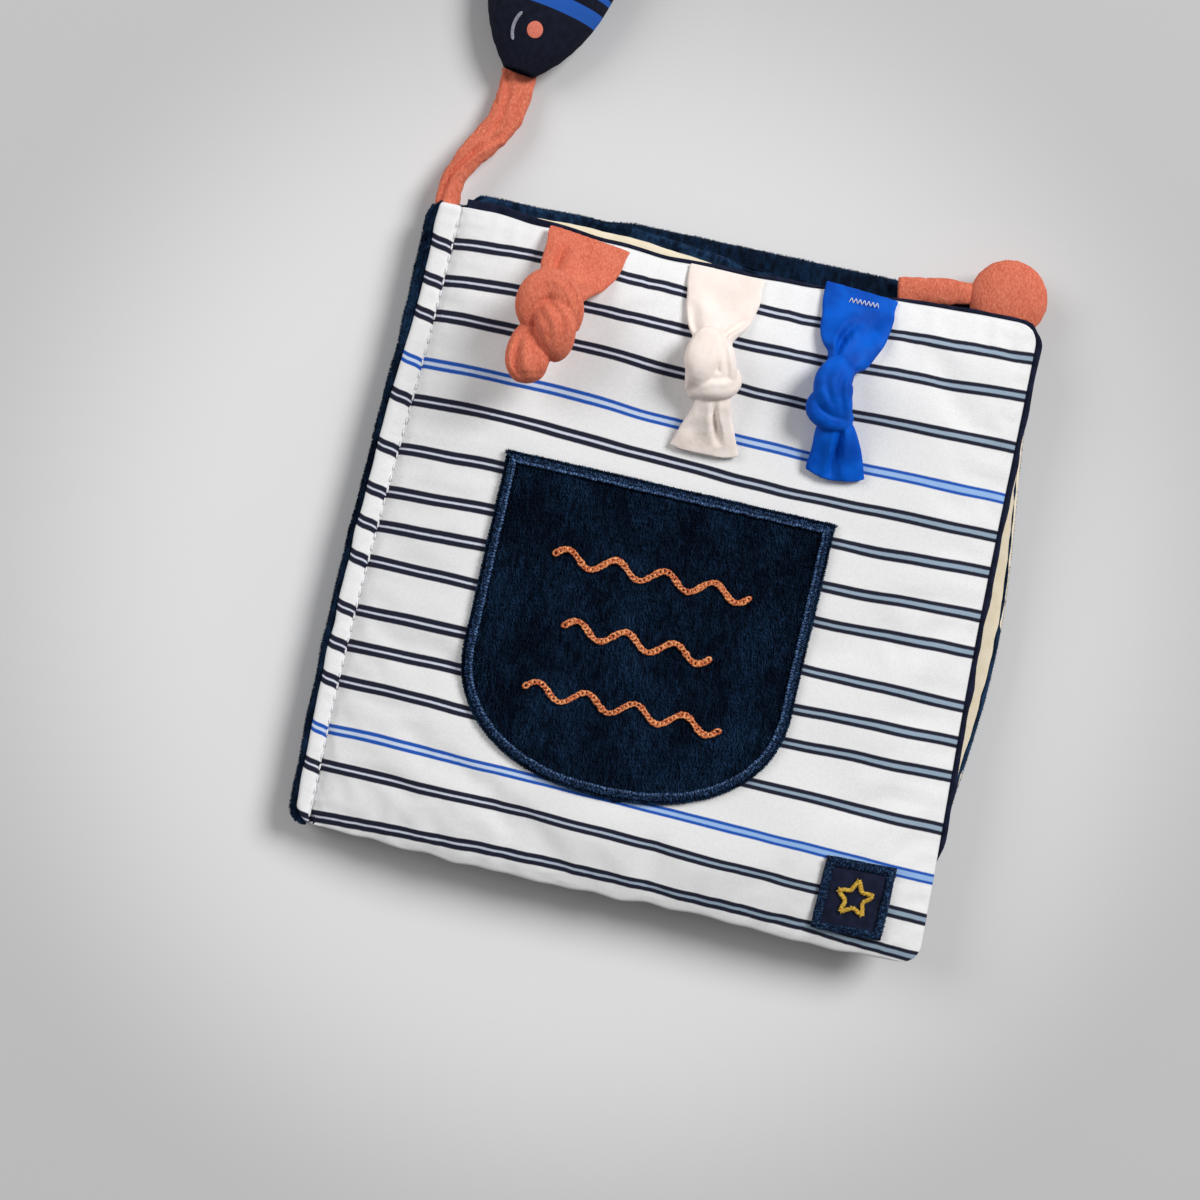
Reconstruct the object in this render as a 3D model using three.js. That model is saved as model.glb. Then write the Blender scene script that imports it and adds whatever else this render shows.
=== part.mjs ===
// Cloth activity book: three stuffed cloth leaves sewn along one spine seam, a knotted ribbon trio
// on the front cover's top edge, and a stuffed fish on a strap.
// Millimetres, +Z up. The closed book lies face up with its spine along Y at -X and its head at +Y.
// The origin is the middle of the back cover's flat underside.
import * as THREE from 'three';

// Driving dimensions of the closed book
const coverWidth = 180;
const coverHeight = 184;
const coverCorner = 6;
const seamInset = 7.15;          // spine edge to the seam, at mid height
const seamSlant = 4.7;           // the seam leans this far to +X from foot to head
const spineSlant = 1.4;          // the spine edge leans this far to +X from foot to head
const plushBand = 2.6;           // back cover showing beside the spine margin
const clearance = 0.3;           // between cloth pieces that touch

// Cloth
const cottonCloth = 0.8;
const knitCloth = 0.8;
const creamCloth = 0.8;
const plushCloth = 1.4;

// Stuffed thickness of each leaf, at the seam and in the middle
const backAtSeam = 6;
const pageAtSeam = 2.7;
const frontAtSeam = 2.7;
const backFull = 8;
const pageFull = 6.4;
const frontFull = 8;
const riseWidth = 40;            // the leaves swell over this distance from the seam
const crownWidth = 30;           // and over this one from their free edges
const spineCrown = 5;
const footCut = 0.5;             // depth of the flat cut under the back cover and the fish
const crownShare = 0.7;          // below 1 the swelling starts more steeply at the edge
const backRimShare = 0.35;       // height of a leaf's thin edge within its thickness
const pageRimShare = 0.4;
const frontRimShare = 0.25;
const seamRelief = 0.9;          // hollow beside the seam that lets the leaves turn
const seamReliefWidth = 6;

// How far each leaf reaches past the front cover, and how its edges draw in
const headDip = 3.5;
const headDipPlaceShare = 0.44;
const footBow = 2;
const freeDraw = 1;
const backHeadReach = 5.5;
const backFreeReach = 2;
const pageFreeReach = 6.5;
const pageHeadReach = 2.6;
const pageHeadFall = 11;         // the page's head edge falls this far towards its free edge
const wadInset = 7;
const wadSeamInset = 13;
const wadClearance = 0.6;        // the wadding is faceted more coarsely than the cloth round it
const wadCorner = 26;

// Applied patch, its satin-stitched border and its embroidery
const patchCentreX = -6.6;
const patchHeadInset = 66.2;      // head edge to the patch's straight edge
const patchHalfWidth = 47.5;
const patchStraight = 55;
const patchBowl = 35;
const patchBowlPower = 2.2;
const patchBowlEndShare = 0.985;
const borderInset = 2.1;
const borderWidth = 2.8;
const threadHeight = 0.7;
const chainWidth = 1.5;
const waveHeight = 4.2;
const waveLength = 14;
const waveGap = 19;
const waveCounts = [4, 3, 4];
const waveStepsPerWave = 8;

// Square label near the foot
const labelFreeInset = 10.9;      // free edge to the label
const labelFootInset = 3.7;       // foot edge to the label
const labelWidth = 20.4;
const labelHeight = 21.4;
const labelBorder = 3.4;
const starRadius = 5.2;
const starInnerShare = 0.5;
const starPoints = 5;

// Spine margin and its running stitches
const marginRoll = 1.4;          // the front margin's outer edge lies this much lower
const pageMarginInset = 1.2;
const stitchLength = 3;
const stitchPitch = 4.9;
const stitchWidth = 0.9;
const stitchInset = 1.3;
const sunkShare = 0.4;           // width and height of the thread where it sinks into the cloth

// Knotted ribbons
const ribbonCloth = 1.2;
const coralLength = 49;
const creamLength = 53;
const blueLength = 55;
const ribbonWidth = 22;
const knotThickness = 12;
const ribbonRoot = 1;            // from the head edge to a ribbon's first row
const coralLift = 8;
const tackWidth = 9;
const tackDepth = 1.6;

// Strap and fish
const strapWidth = 9;
const strapThickness = 3.4;
const strapReach = 41.5;         // head edge to the fish's mouth, along Y
const strapInset = 5.5;          // spine edge to the strap's root
const strapPivotReach = 7;       // head edge to the strap's turning point
const anchorDepth = 13;
const rootTipShare = 0.35;       // how far round the strap's root its first ring lies
const fishTurn = THREE.MathUtils.degToRad(8);
const fishMouthInset = 17.7;     // spine edge to the mouth
const fishLength = 76;
const fishHalfWidth = 19.5;
const fishThickness = 17;
const fishRimShare = 0.42;
const fishCrown = 16;
const fishMouthHeight = 6;
const fishWadInset = 4;
const tailLength = 21;
const tailHalfWidth = 15;
const tailThickness = 3.6;
const tailNotch = 5;
const tailFlareShare = 0.8;
const eyeRadius = 2.3;
const eyePlace = [11.5, 0.8];    // along and across, from the mouth
const gillPlace = [11, -5.4];
const gillRadius = 7;
const gillWidth = 1;
const gillSweep = THREE.MathUtils.degToRad(34);

// Coral tab at the head edge, between the covers
const tabWidth = 8;
const tabThickness = 2.4;
const tabStartInset = 41;         // free edge to the tab's sewn end
const tabStartReach = 3.5;        // head edge to the middle of that end
const tabEndInset = 24;
const tabEndReach = 6;
const padInset = 11;
const padReach = 7;
const padRadius = 11.5;
const padThickness = 8.4;
const padRoundShare = 0.7;
const padSit = 1.2;              // the pad's underside over the back cover's edge

const clamp01 = (value) => Math.min(1, Math.max(0, value));
const mix = (from, to, share) => from + (to - from) * share;
const easedShare = (share) => (1 - Math.cos(Math.PI * share)) / 2;
const halfHeight = coverHeight / 2;
const halfWidth = coverWidth / 2;
const patchHeadY = halfHeight - patchHeadInset;
const labelCentreX = halfWidth - labelFreeInset - labelWidth / 2;
const labelCentreY = -halfHeight + labelFootInset + labelHeight / 2;
const tabStart = [halfWidth - tabStartInset, halfHeight + tabStartReach];
const tabEnd = [halfWidth - tabEndInset, halfHeight + tabEndReach];
const padCentre = [halfWidth - padInset, halfHeight + padReach];

const material = (red, green, blue, roughness = 0.9) =>
  new THREE.MeshStandardMaterial({ color: new THREE.Color(red, green, blue), roughness, metalness: 0 });

const striped = () => material(0.85, 0.85, 0.87);
const navyPlush = () => material(0.006, 0.013, 0.035, 1);
const navyKnit = () => material(0.012, 0.016, 0.04);
const wadding = () => material(0.9, 0.9, 0.9, 1);
const coralMuslin = () => material(0.84, 0.18, 0.12);

const book = new THREE.Group();

function addMesh(name, geometry, finish) {
  const mesh = new THREE.Mesh(geometry, finish);
  mesh.name = name;
  book.add(mesh);
  return mesh;
}

// A closed body from points and triangles, turned so that its faces point outwards
function closedBody(points, faces) {
  let volume = 0;
  for (const [a, b, c] of faces) {
    volume += points[a].dot(new THREE.Vector3().crossVectors(points[b], points[c]));
  }
  const order = volume < 0 ? faces.map(([a, b, c]) => [a, c, b]) : faces;
  const geometry = new THREE.BufferGeometry();
  geometry.setAttribute('position', new THREE.Float32BufferAttribute(points.flatMap((p) => p.toArray()), 3));
  geometry.setIndex(order.flat());
  return geometry;
}

// A sheet with thickness over a grid: place gives x and y, low and high give its two faces
function slab({ columns, rows, place, low, high, ease = easedShare }) {
  const points = [];
  for (const height of [low, high]) {
    for (let j = 0; j <= rows; j += 1) {
      for (let i = 0; i <= columns; i += 1) {
        const [x, y] = place(ease(i / columns), ease(j / rows));
        points.push(new THREE.Vector3(x, y, height(x, y)));
      }
    }
  }
  const layer = (columns + 1) * (rows + 1);
  const at = (i, j, k) => k * layer + j * (columns + 1) + i;
  const faces = [];
  const quad = (a, b, c, d) => faces.push([a, b, c], [a, c, d]);
  for (let j = 0; j < rows; j += 1) {
    for (let i = 0; i < columns; i += 1) {
      quad(at(i, j, 1), at(i + 1, j, 1), at(i + 1, j + 1, 1), at(i, j + 1, 1));
      quad(at(i, j, 0), at(i, j + 1, 0), at(i + 1, j + 1, 0), at(i + 1, j, 0));
    }
  }
  for (let i = 0; i < columns; i += 1) {
    quad(at(i, 0, 0), at(i + 1, 0, 0), at(i + 1, 0, 1), at(i, 0, 1));
    quad(at(i + 1, rows, 0), at(i, rows, 0), at(i, rows, 1), at(i + 1, rows, 1));
  }
  for (let j = 0; j < rows; j += 1) {
    quad(at(0, j + 1, 0), at(0, j, 0), at(0, j, 1), at(0, j + 1, 1));
    quad(at(columns, j, 0), at(columns, j + 1, 0), at(columns, j + 1, 1), at(columns, j, 1));
  }
  return closedBody(points, faces);
}

// A body through rings of points, with flat ends, or joined into a loop
function loft(rings, isLoop = false) {
  const sides = rings[0].length;
  const points = rings.flat();
  const faces = [];
  const spans = isLoop ? rings.length : rings.length - 1;
  for (let r = 0; r < spans; r += 1) {
    const next = (r + 1) % rings.length;
    for (let s = 0; s < sides; s += 1) {
      const t = (s + 1) % sides;
      faces.push([r * sides + s, r * sides + t, next * sides + t]);
      faces.push([r * sides + s, next * sides + t, next * sides + s]);
    }
  }
  if (!isLoop) {
    const last = (rings.length - 1) * sides;
    for (let s = 1; s < sides - 1; s += 1) {
      faces.push([0, s + 1, s]);
      faces.push([last, last + s, last + s + 1]);
    }
  }
  return closedBody(points, faces);
}

// An oval ring of points about a centre
function ovalRing(centre, side, up, halfAcross, halfThick, sides) {
  const ring = [];
  for (let k = 0; k < sides; k += 1) {
    const angle = (2 * Math.PI * (k + 0.5)) / sides;
    ring.push(centre.clone()
      .addScaledVector(side, halfAcross * Math.cos(angle))
      .addScaledVector(up, halfThick * Math.sin(angle)));
  }
  return ring;
}

// Edges of the leaves in plan
const seamX = (y) => -halfWidth + seamInset + seamSlant * (y / coverHeight);
const spineX = (y) => -halfWidth + spineSlant * (y / coverHeight);
const fromSeam = (x, y) => x - seamX(y);
const bell = (share) => Math.sin(Math.PI * clamp01(share)) ** 2;
const cornerDraw = (y, headY, footY, radius) => {
  const past = Math.max(y - (headY - radius), footY + radius - y, 0) / radius;
  return radius * (1 - Math.sqrt(1 - clamp01(past) ** 2));
};
const headDipAt = (x) => {
  const share = (x + halfWidth) / coverWidth;
  const skewed = share < headDipPlaceShare
    ? share / headDipPlaceShare / 2
    : 0.5 + (share - headDipPlaceShare) / (1 - headDipPlaceShare) / 2;
  return headDip * bell(skewed);
};
const footBowAt = (x) => footBow * bell((x + halfWidth) / coverWidth);
const freeDrawAt = (y) => freeDraw * bell((y + halfHeight) / coverHeight);

const frontEdges = {
  head: (x) => halfHeight - headDipAt(x),
  foot: (x) => -halfHeight - footBowAt(x),
  spine: (y) => seamX(y) + clearance,
  free: (y) => halfWidth - freeDrawAt(y),
};
const pageEdges = {
  head: (x) => halfHeight + pageHeadReach - pageHeadFall * clamp01(fromSeam(x, 0) / coverWidth),
  foot: () => -halfHeight + coverCorner / 2,
  spine: (y) => seamX(y) + clearance,
  free: (y) => halfWidth + pageFreeReach * bell((y + halfHeight) / coverHeight),
};
const backEdges = {
  head: (x) => halfHeight + backHeadReach * clamp01(fromSeam(x, halfHeight) / riseWidth),
  foot: () => -halfHeight,
  spine: spineX,
  free: () => halfWidth + backFreeReach,
};

// Grid place inside four edges, with rounded corners
function placeIn(edges, inset = 0, seamSideInset = inset, corner = coverCorner, roundSpine = false) {
  return (u, v) => {
    const headY = halfHeight - inset;
    const footY = -halfHeight + inset;
    const levelY = mix(footY, headY, v);
    const draw = cornerDraw(levelY, headY, footY, corner);
    const left = edges.spine(levelY) + seamSideInset + (roundSpine ? draw : 0);
    const right = edges.free(levelY) - inset - draw;
    const x = mix(left, right, u);
    return [x, mix(edges.foot(x) + inset, edges.head(x) - inset, v)];
  };
}

// Share of its full swelling that a leaf has at a place, from 0 at its free edges
const crown = (distance, width) => Math.sin((Math.PI / 2) * clamp01(distance / width)) ** crownShare;
const swelling = (edges, x, y) => crown(edges.free(y) - x, crownWidth)
  * crown(edges.head(x) - y, crownWidth) * crown(y - edges.foot(x), crownWidth);
const rise = (distance) => Math.sin((Math.PI / 2) * clamp01(distance / riseWidth));
const relief = (x, y) => seamRelief * clamp01(1 - fromSeam(x, y) / seamReliefWidth);

// Lower and upper face of a leaf from the heights at the seam and in the middle
function leafFaces(edges, seamLow, fullLow, seamHigh, fullHigh, rim, rimShare) {
  const low = (x, y) => {
    const bed = mix(seamLow, fullLow, rise(fromSeam(x, y)));
    const top = mix(seamHigh, fullHigh, rise(fromSeam(x, y)));
    return mix(bed + (top - bed - rim) * rimShare, bed, swelling(edges, x, y));
  };
  const high = (x, y) => {
    const bed = mix(seamLow, fullLow, rise(fromSeam(x, y)));
    const top = mix(seamHigh, fullHigh, rise(fromSeam(x, y)));
    return mix(bed + (top - bed - rim) * rimShare + rim, top, swelling(edges, x, y));
  };
  return { low, high };
}

const plushRim = plushCloth + clearance + creamCloth;
const frontRim = cottonCloth + clearance + knitCloth;
const pageLowSeam = backAtSeam + clearance;
const pageLowFull = backFull + clearance;
const pageHighSeam = pageLowSeam + pageAtSeam;
const pageHighFull = pageLowFull + pageFull;
const frontLowSeam = pageHighSeam + clearance;
const frontLowFull = pageHighFull + clearance;
const frontHighSeam = frontLowSeam + frontAtSeam;
const frontHighFull = frontLowFull + frontFull;

// Back cover: navy plush outside, wadding, navy plush lining inside. It reaches under the spine margin.
const backSwelling = (x, y) => swelling(backEdges, x, y) * crown(x - backEdges.spine(y), spineCrown);
const backTop = (x, y) => mix(backAtSeam, backFull, rise(fromSeam(x, y)));
const backRim = 2 * plushCloth + clearance;
const backLow = (x, y) => {
  const edgeLow = (backTop(x, y) - backRim) * backRimShare;
  return Math.max(0, mix(edgeLow, -footCut, backSwelling(x, y)));
};
const backHigh = (x, y) => {
  const edgeLow = (backTop(x, y) - backRim) * backRimShare;
  return mix(edgeLow + backRim, backTop(x, y), backSwelling(x, y));
};

function addBackCover() {
  const whole = placeIn(backEdges, 0, 0, coverCorner, true);
  addMesh('back_cover_plush', slab({
    columns: 16, rows: 14, place: whole,
    low: backLow,
    high: (x, y) => backLow(x, y) + plushCloth,
  }), navyPlush());
  addMesh('back_cover_wadding', slab({
    columns: 10, rows: 10, place: placeIn(backEdges, wadInset, wadSeamInset + seamInset, wadCorner, true),
    low: (x, y) => backLow(x, y) + plushCloth + wadClearance,
    high: (x, y) => backHigh(x, y) - plushCloth - wadClearance,
  }), wadding());
  addMesh('back_cover_lining', slab({
    columns: 16, rows: 14, place: whole,
    low: (x, y) => backHigh(x, y) - plushCloth,
    high: backHigh,
  }), navyPlush());
}

// Page: cream cloth in front, wadding, navy plush behind
const page = leafFaces(pageEdges, pageLowSeam, pageLowFull, pageHighSeam, pageHighFull, plushRim,
  pageRimShare);

function addPage() {
  const whole = placeIn(pageEdges);
  addMesh('page_back_plush', slab({
    columns: 12, rows: 12, place: whole,
    low: page.low,
    high: (x, y) => page.low(x, y) + plushCloth,
  }), navyPlush());
  addMesh('page_wadding', slab({
    columns: 9, rows: 9, place: placeIn(pageEdges, wadInset, wadSeamInset, wadCorner, true),
    low: (x, y) => page.low(x, y) + plushCloth + wadClearance,
    high: (x, y) => page.high(x, y) - creamCloth - wadClearance,
  }), wadding());
  addMesh('page_front_sheet', slab({
    columns: 12, rows: 12, place: whole,
    low: (x, y) => page.high(x, y) - creamCloth,
    high: page.high,
  }), material(0.87, 0.76, 0.57));
}

// Front cover: striped cotton, wadding, thin navy knit lining
const front = leafFaces(frontEdges, frontLowSeam, frontLowFull, frontHighSeam, frontHighFull, frontRim,
  frontRimShare);
const frontLow = (x, y) => front.low(x, y) + relief(x, y);
const frontTop = (x, y) => Math.max(front.high(x, y), frontLow(x, y) + frontRim);

function addFrontCover() {
  const whole = placeIn(frontEdges);
  addMesh('front_cover_lining', slab({
    columns: 14, rows: 14, place: whole,
    low: frontLow,
    high: (x, y) => frontLow(x, y) + knitCloth,
  }), navyKnit());
  addMesh('front_cover_wadding', slab({
    columns: 10, rows: 10, place: placeIn(frontEdges, wadInset, wadSeamInset, wadCorner, true),
    low: (x, y) => frontLow(x, y) + knitCloth + wadClearance,
    high: (x, y) => frontTop(x, y) - cottonCloth - wadClearance,
  }), wadding());
  addMesh('front_cover_panel', slab({
    columns: 18, rows: 18, place: whole,
    low: (x, y) => frontTop(x, y) - cottonCloth,
    high: frontTop,
  }), striped());
}

// Spine margin: the sewn edges of the page and the front cover, and the stitches through them
const marginX = (y) => spineX(y) + plushBand;
const frontMarginTop = (x, y) => {
  const share = clamp01((x - marginX(y)) / (seamX(y) - marginX(y)));
  return frontHighSeam - marginRoll * (1 - share) ** 2;
};

function addSpineMargin() {
  addMesh('front_margin', slab({
    columns: 4, rows: 12,
    place: (u, v) => {
      const y = mix(-halfHeight, halfHeight, v);
      return [mix(marginX(y), seamX(y), u), y];
    },
    low: () => frontLowSeam,
    high: frontMarginTop,
  }), striped());
  addMesh('page_margin', slab({
    columns: 2, rows: 6,
    place: (u, v) => {
      const y = mix(-halfHeight + coverCorner / 2, halfHeight - anchorDepth - clearance, v);
      return [mix(marginX(y) + pageMarginInset, seamX(y), u), y];
    },
    low: () => pageLowSeam,
    high: () => pageHighSeam,
  }), navyPlush());

  // One thread all along the seam: it stands up in each stitch and sinks between them
  const count = Math.floor((coverHeight - coverCorner) / stitchPitch);
  const firstY = -(count - 1) * stitchPitch / 2;
  const rings = [];
  for (let i = 0; i < count; i += 1) {
    const centreY = firstY + i * stitchPitch;
    const reach = stitchLength / 2;
    for (const [y, share] of [[centreY - reach, sunkShare], [centreY, 1], [centreY + reach, sunkShare]]) {
      const x = seamX(y) - stitchInset;
      const bed = frontMarginTop(x, y) + clearance;
      const half = share * stitchWidth / 2;
      const corner = (across, raised) => new THREE.Vector3(x + across * half, y, bed + raised * share);
      rings.push([corner(-1, 0), corner(1, 0), corner(1, threadHeight), corner(-1, threadHeight)]);
    }
  }
  addMesh('spine_stitching', loft(rings), material(0.87, 0.87, 0.88));
}

// Patch sewn on the front cover: a straight-sided bowl
const patchBottomY = patchHeadY - patchStraight - patchBowl;
function patchEdge(y, inset) {
  const bowl = clamp01((patchHeadY - patchStraight - y) / (patchBowl - inset));
  return (patchHalfWidth - inset) * (1 - bowl ** patchBowlPower) ** (1 / patchBowlPower);
}
const patchTop = (x, y) => frontTop(x, y) + clearance + plushCloth;
// The y of an edge point, with shares 0 to 1 from the bowl's bottom to the head
function patchLevel(share, inset) {
  const bowlTopY = patchHeadY - patchStraight;
  const bowlDepth = (patchBowl - inset) * patchBowlEndShare;
  return share < 0.5
    ? bowlTopY - bowlDepth * Math.cos(Math.PI * share)
    : mix(bowlTopY, patchHeadY - inset, 2 * share - 1);
}

function addPatch() {
  addMesh('cover_patch', slab({
    columns: 10, rows: 12, ease: (share) => share,
    place: (u, v) => {
      const y = patchLevel(v, 0);
      return [patchCentreX + mix(-1, 1, u) * patchEdge(y, 0), y];
    },
    low: (x, y) => frontTop(x, y) + clearance,
    high: patchTop,
  }), navyPlush());

  const outline = [];
  const sideSteps = 14;
  const headSteps = 8;
  const corner = (share) => {
    const y = patchLevel(share, borderInset);
    return [patchEdge(y, borderInset), y];
  };
  for (let i = 0; i <= sideSteps; i += 1) {
    const [across, y] = corner(i / sideSteps);
    outline.push([patchCentreX + across, y]);
  }
  for (let i = 1; i < headSteps; i += 1) {
    const across = (patchHalfWidth - borderInset) * mix(1, -1, i / headSteps);
    outline.push([patchCentreX + across, patchHeadY - borderInset]);
  }
  for (let i = sideSteps; i >= 0; i -= 1) {
    const [across, y] = corner(i / sideSteps);
    outline.push([patchCentreX - across, y]);
  }
  addMesh('patch_border', threadBand(outline, borderWidth, patchTop, true), material(0.019, 0.048, 0.138));
}

// A flat band of stitching along a route on a surface
function threadBand(route, width, surface, isLoop = false) {
  const count = route.length;
  const rings = route.map(([x, y], i) => {
    const [beforeX, beforeY] = route[isLoop ? (i + count - 1) % count : Math.max(0, i - 1)];
    const [afterX, afterY] = route[isLoop ? (i + 1) % count : Math.min(count - 1, i + 1)];
    const span = Math.hypot(afterX - beforeX, afterY - beforeY);
    const sideX = -(afterY - beforeY) / span;
    const sideY = (afterX - beforeX) / span;
    const corner = (across, raised) => {
      const px = x + sideX * across;
      const py = y + sideY * across;
      return new THREE.Vector3(px, py, surface(px, py) + clearance + raised);
    };
    return [corner(-width / 2, 0), corner(width / 2, 0),
      corner(width / 2, threadHeight), corner(-width / 2, threadHeight)];
  });
  return loft(rings, isLoop);
}

function addEmbroidery() {
  waveCounts.forEach((count, row) => {
    const y = mix(patchHeadY, patchBottomY, 0.5) + waveGap * (1 - row);
    const steps = count * waveStepsPerWave;
    const route = [];
    for (let i = 0; i <= steps; i += 1) {
      const along = waveLength * count * (i / steps - 0.5);
      const swing = Math.sin((2 * Math.PI * i) / waveStepsPerWave);
      route.push([patchCentreX + along, y + (waveHeight / 2) * swing]);
    }
    addMesh(`patch_wave_${row + 1}`, threadBand(route, chainWidth, patchTop), material(0.74, 0.18, 0.045));
  });
}

const labelTop = (x, y) => frontTop(x, y) + clearance + cottonCloth;

function addLabel() {
  const place = (grow) => (u, v) => [
    labelCentreX + (labelWidth / 2 + grow) * mix(-1, 1, u),
    labelCentreY + (labelHeight / 2 + grow) * mix(-1, 1, v),
  ];
  addMesh('label_patch', slab({
    columns: 5, rows: 5, place: place(0),
    low: (x, y) => frontTop(x, y) + clearance,
    high: labelTop,
  }), navyKnit());

  const frame = [];
  const steps = 4;
  const turns = [[-1, -1, 1, 0], [1, -1, 0, 1], [1, 1, -1, 0], [-1, 1, 0, -1]];
  for (const [startX, startY, goX, goY] of turns) {
    for (let i = 0; i < steps; i += 1) {
      const shareX = startX + 2 * goX * (i / steps);
      const shareY = startY + 2 * goY * (i / steps);
      frame.push([labelCentreX + shareX * (labelWidth - labelBorder) / 2,
        labelCentreY + shareY * (labelHeight - labelBorder) / 2]);
    }
  }
  addMesh('label_border', threadBand(frame, labelBorder / Math.SQRT2, labelTop, true),
    material(0.019, 0.048, 0.138));

  const star = [];
  for (let i = 0; i < 2 * starPoints; i += 1) {
    const angle = Math.PI / 2 + (Math.PI * i) / starPoints;
    const reach = starRadius * (i % 2 ? starInnerShare : 1);
    star.push([labelCentreX + reach * Math.cos(angle), labelCentreY + reach * Math.sin(angle)]);
  }
  addMesh('label_star', threadBand(star, chainWidth / 2, labelTop, true), material(0.73, 0.46, 0.045));
}

// Knotted ribbons. Each row: share along the length, sideways, half width, half thickness, lift
const coralRowShares = [
  [0.00, 0.00, 0.55, 0.05, 0.0], [0.14, -0.03, 0.50, 0.06, 0.0], [0.28, -0.08, 0.36, 0.13, 0.1],
  [0.40, -0.14, 0.24, 0.24, 0.3], [0.50, -0.20, 0.33, 0.42, 0.5], [0.60, -0.26, 0.36, 0.50, 0.6],
  [0.70, -0.31, 0.26, 0.36, 0.8], [0.79, -0.35, 0.31, 0.44, 0.9], [0.89, -0.39, 0.33, 0.48, 1.0],
  [0.97, -0.41, 0.24, 0.34, 1.0], [1.00, -0.42, 0.12, 0.16, 1.0],
];
const creamRowShares = [
  [0.00, 0.00, 0.52, 0.05, 0], [0.13, 0.00, 0.47, 0.06, 0], [0.26, 0.01, 0.30, 0.13, 0],
  [0.36, 0.03, 0.22, 0.22, 0], [0.48, 0.03, 0.34, 0.42, 0], [0.60, 0.02, 0.36, 0.50, 0],
  [0.68, 0.02, 0.27, 0.34, 0], [0.78, 0.02, 0.33, 0.16, 0], [0.90, 0.03, 0.42, 0.10, 0],
  [1.00, 0.05, 0.46, 0.08, 0],
];
const blueRowShares = [
  [0.00, 0.00, 0.48, 0.05, 0], [0.13, -0.02, 0.45, 0.06, 0], [0.28, -0.09, 0.30, 0.13, 0],
  [0.40, -0.16, 0.22, 0.22, 0], [0.50, -0.19, 0.32, 0.40, 0], [0.60, -0.20, 0.35, 0.48, 0],
  [0.69, -0.18, 0.27, 0.34, 0], [0.80, -0.12, 0.33, 0.18, 0], [0.91, -0.07, 0.40, 0.12, 0],
  [1.00, -0.05, 0.42, 0.09, 0],
];
const ribbonSides = 8;
const ribbons = [
  {
    name: 'coral_ribbon', placeShare: 0.26, length: coralLength, lift: coralLift, rows: coralRowShares,
    finish: coralMuslin(),
  },
  {
    name: 'cream_ribbon', placeShare: 0.482, length: creamLength, lift: 0, rows: creamRowShares,
    finish: material(0.93, 0.79, 0.7, 0.6),
  },
  {
    name: 'blue_ribbon', placeShare: 0.699, length: blueLength, lift: 0, rows: blueRowShares,
    finish: material(0.003, 0.09, 0.63, 0.5),
  },
];

const placeAcross = (share) => -halfWidth + share * coverWidth;

function ribbonHeading(rows, i, length) {
  const [beforeAlong, beforeSide] = rows[Math.max(0, i - 1)];
  const [afterAlong, afterSide] = rows[Math.min(rows.length - 1, i + 1)];
  const acrossStep = (afterSide - beforeSide) * ribbonWidth;
  return new THREE.Vector2(acrossStep, (beforeAlong - afterAlong) * length).normalize();
}

function addRibbons() {
  const up = new THREE.Vector3(0, 0, 1);
  for (const { name, placeShare, length, lift, rows, finish } of ribbons) {
    const x = placeAcross(placeShare);
    const rootY = frontEdges.head(x) - ribbonRoot;
    const rings = rows.map(([along, sideways, across, thick, raised], i) => {
      const heading = ribbonHeading(rows, i, length);
      const side = new THREE.Vector3(-heading.y, heading.x, 0);
      const centreX = x + sideways * ribbonWidth;
      const centreY = rootY - along * (length - ribbonRoot);
      const halfThick = Math.max(ribbonCloth / 2, thick * knotThickness);
      const halfAcross = across * ribbonWidth;
      const bed = Math.max(...[-1, 0, 1].map((end) =>
        frontTop(centreX + side.x * halfAcross * end, centreY + side.y * halfAcross * end)));
      const centre = new THREE.Vector3(centreX, centreY, bed + clearance + halfThick + raised * lift);
      return ovalRing(centre, side, up, halfAcross, halfThick, ribbonSides);
    });
    addMesh(name, loft(rings), finish);
  }

  const x = placeAcross(ribbons[2].placeShare);
  const surface = (px, py) => frontTop(px, py) + clearance + 2 * ribbonCloth;
  const tackY = frontEdges.head(x) - ribbonRoot - tackWidth / 2;
  const steps = 6;
  const route = [];
  for (let i = 0; i <= steps; i += 1) {
    const turn = i % 2 ? 1 : -1;
    route.push([x + tackWidth * (i / steps - 0.5), tackY + (turn * tackDepth) / 2]);
  }
  addMesh('blue_ribbon_tack', threadBand(route, threadHeight, surface), material(0.8, 0.8, 0.9));
}

// Strap: its sewn root stays in the margin, the free stretch turns about a round end
const strapPivot = new THREE.Vector2(-halfWidth + strapInset, halfHeight + strapPivotReach);
const fishMouth = new THREE.Vector2(-halfWidth + fishMouthInset, halfHeight + strapReach);
const strapRootZ = mix(pageLowSeam, pageHighSeam, 0.5);
const fishSeamZ = fishThickness * fishRimShare;
const strapEndZ = fishMouthHeight / 2 + strapThickness / 4;
// Shares of the way from the strap's root to the mouth, sideways and along
const strapRouteShares = [
  [0, 0], [0.05, 0.1], [0.16, 0.24], [0.36, 0.4], [0.62, 0.56], [0.84, 0.72], [0.97, 0.86], [1, 1],
];

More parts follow.
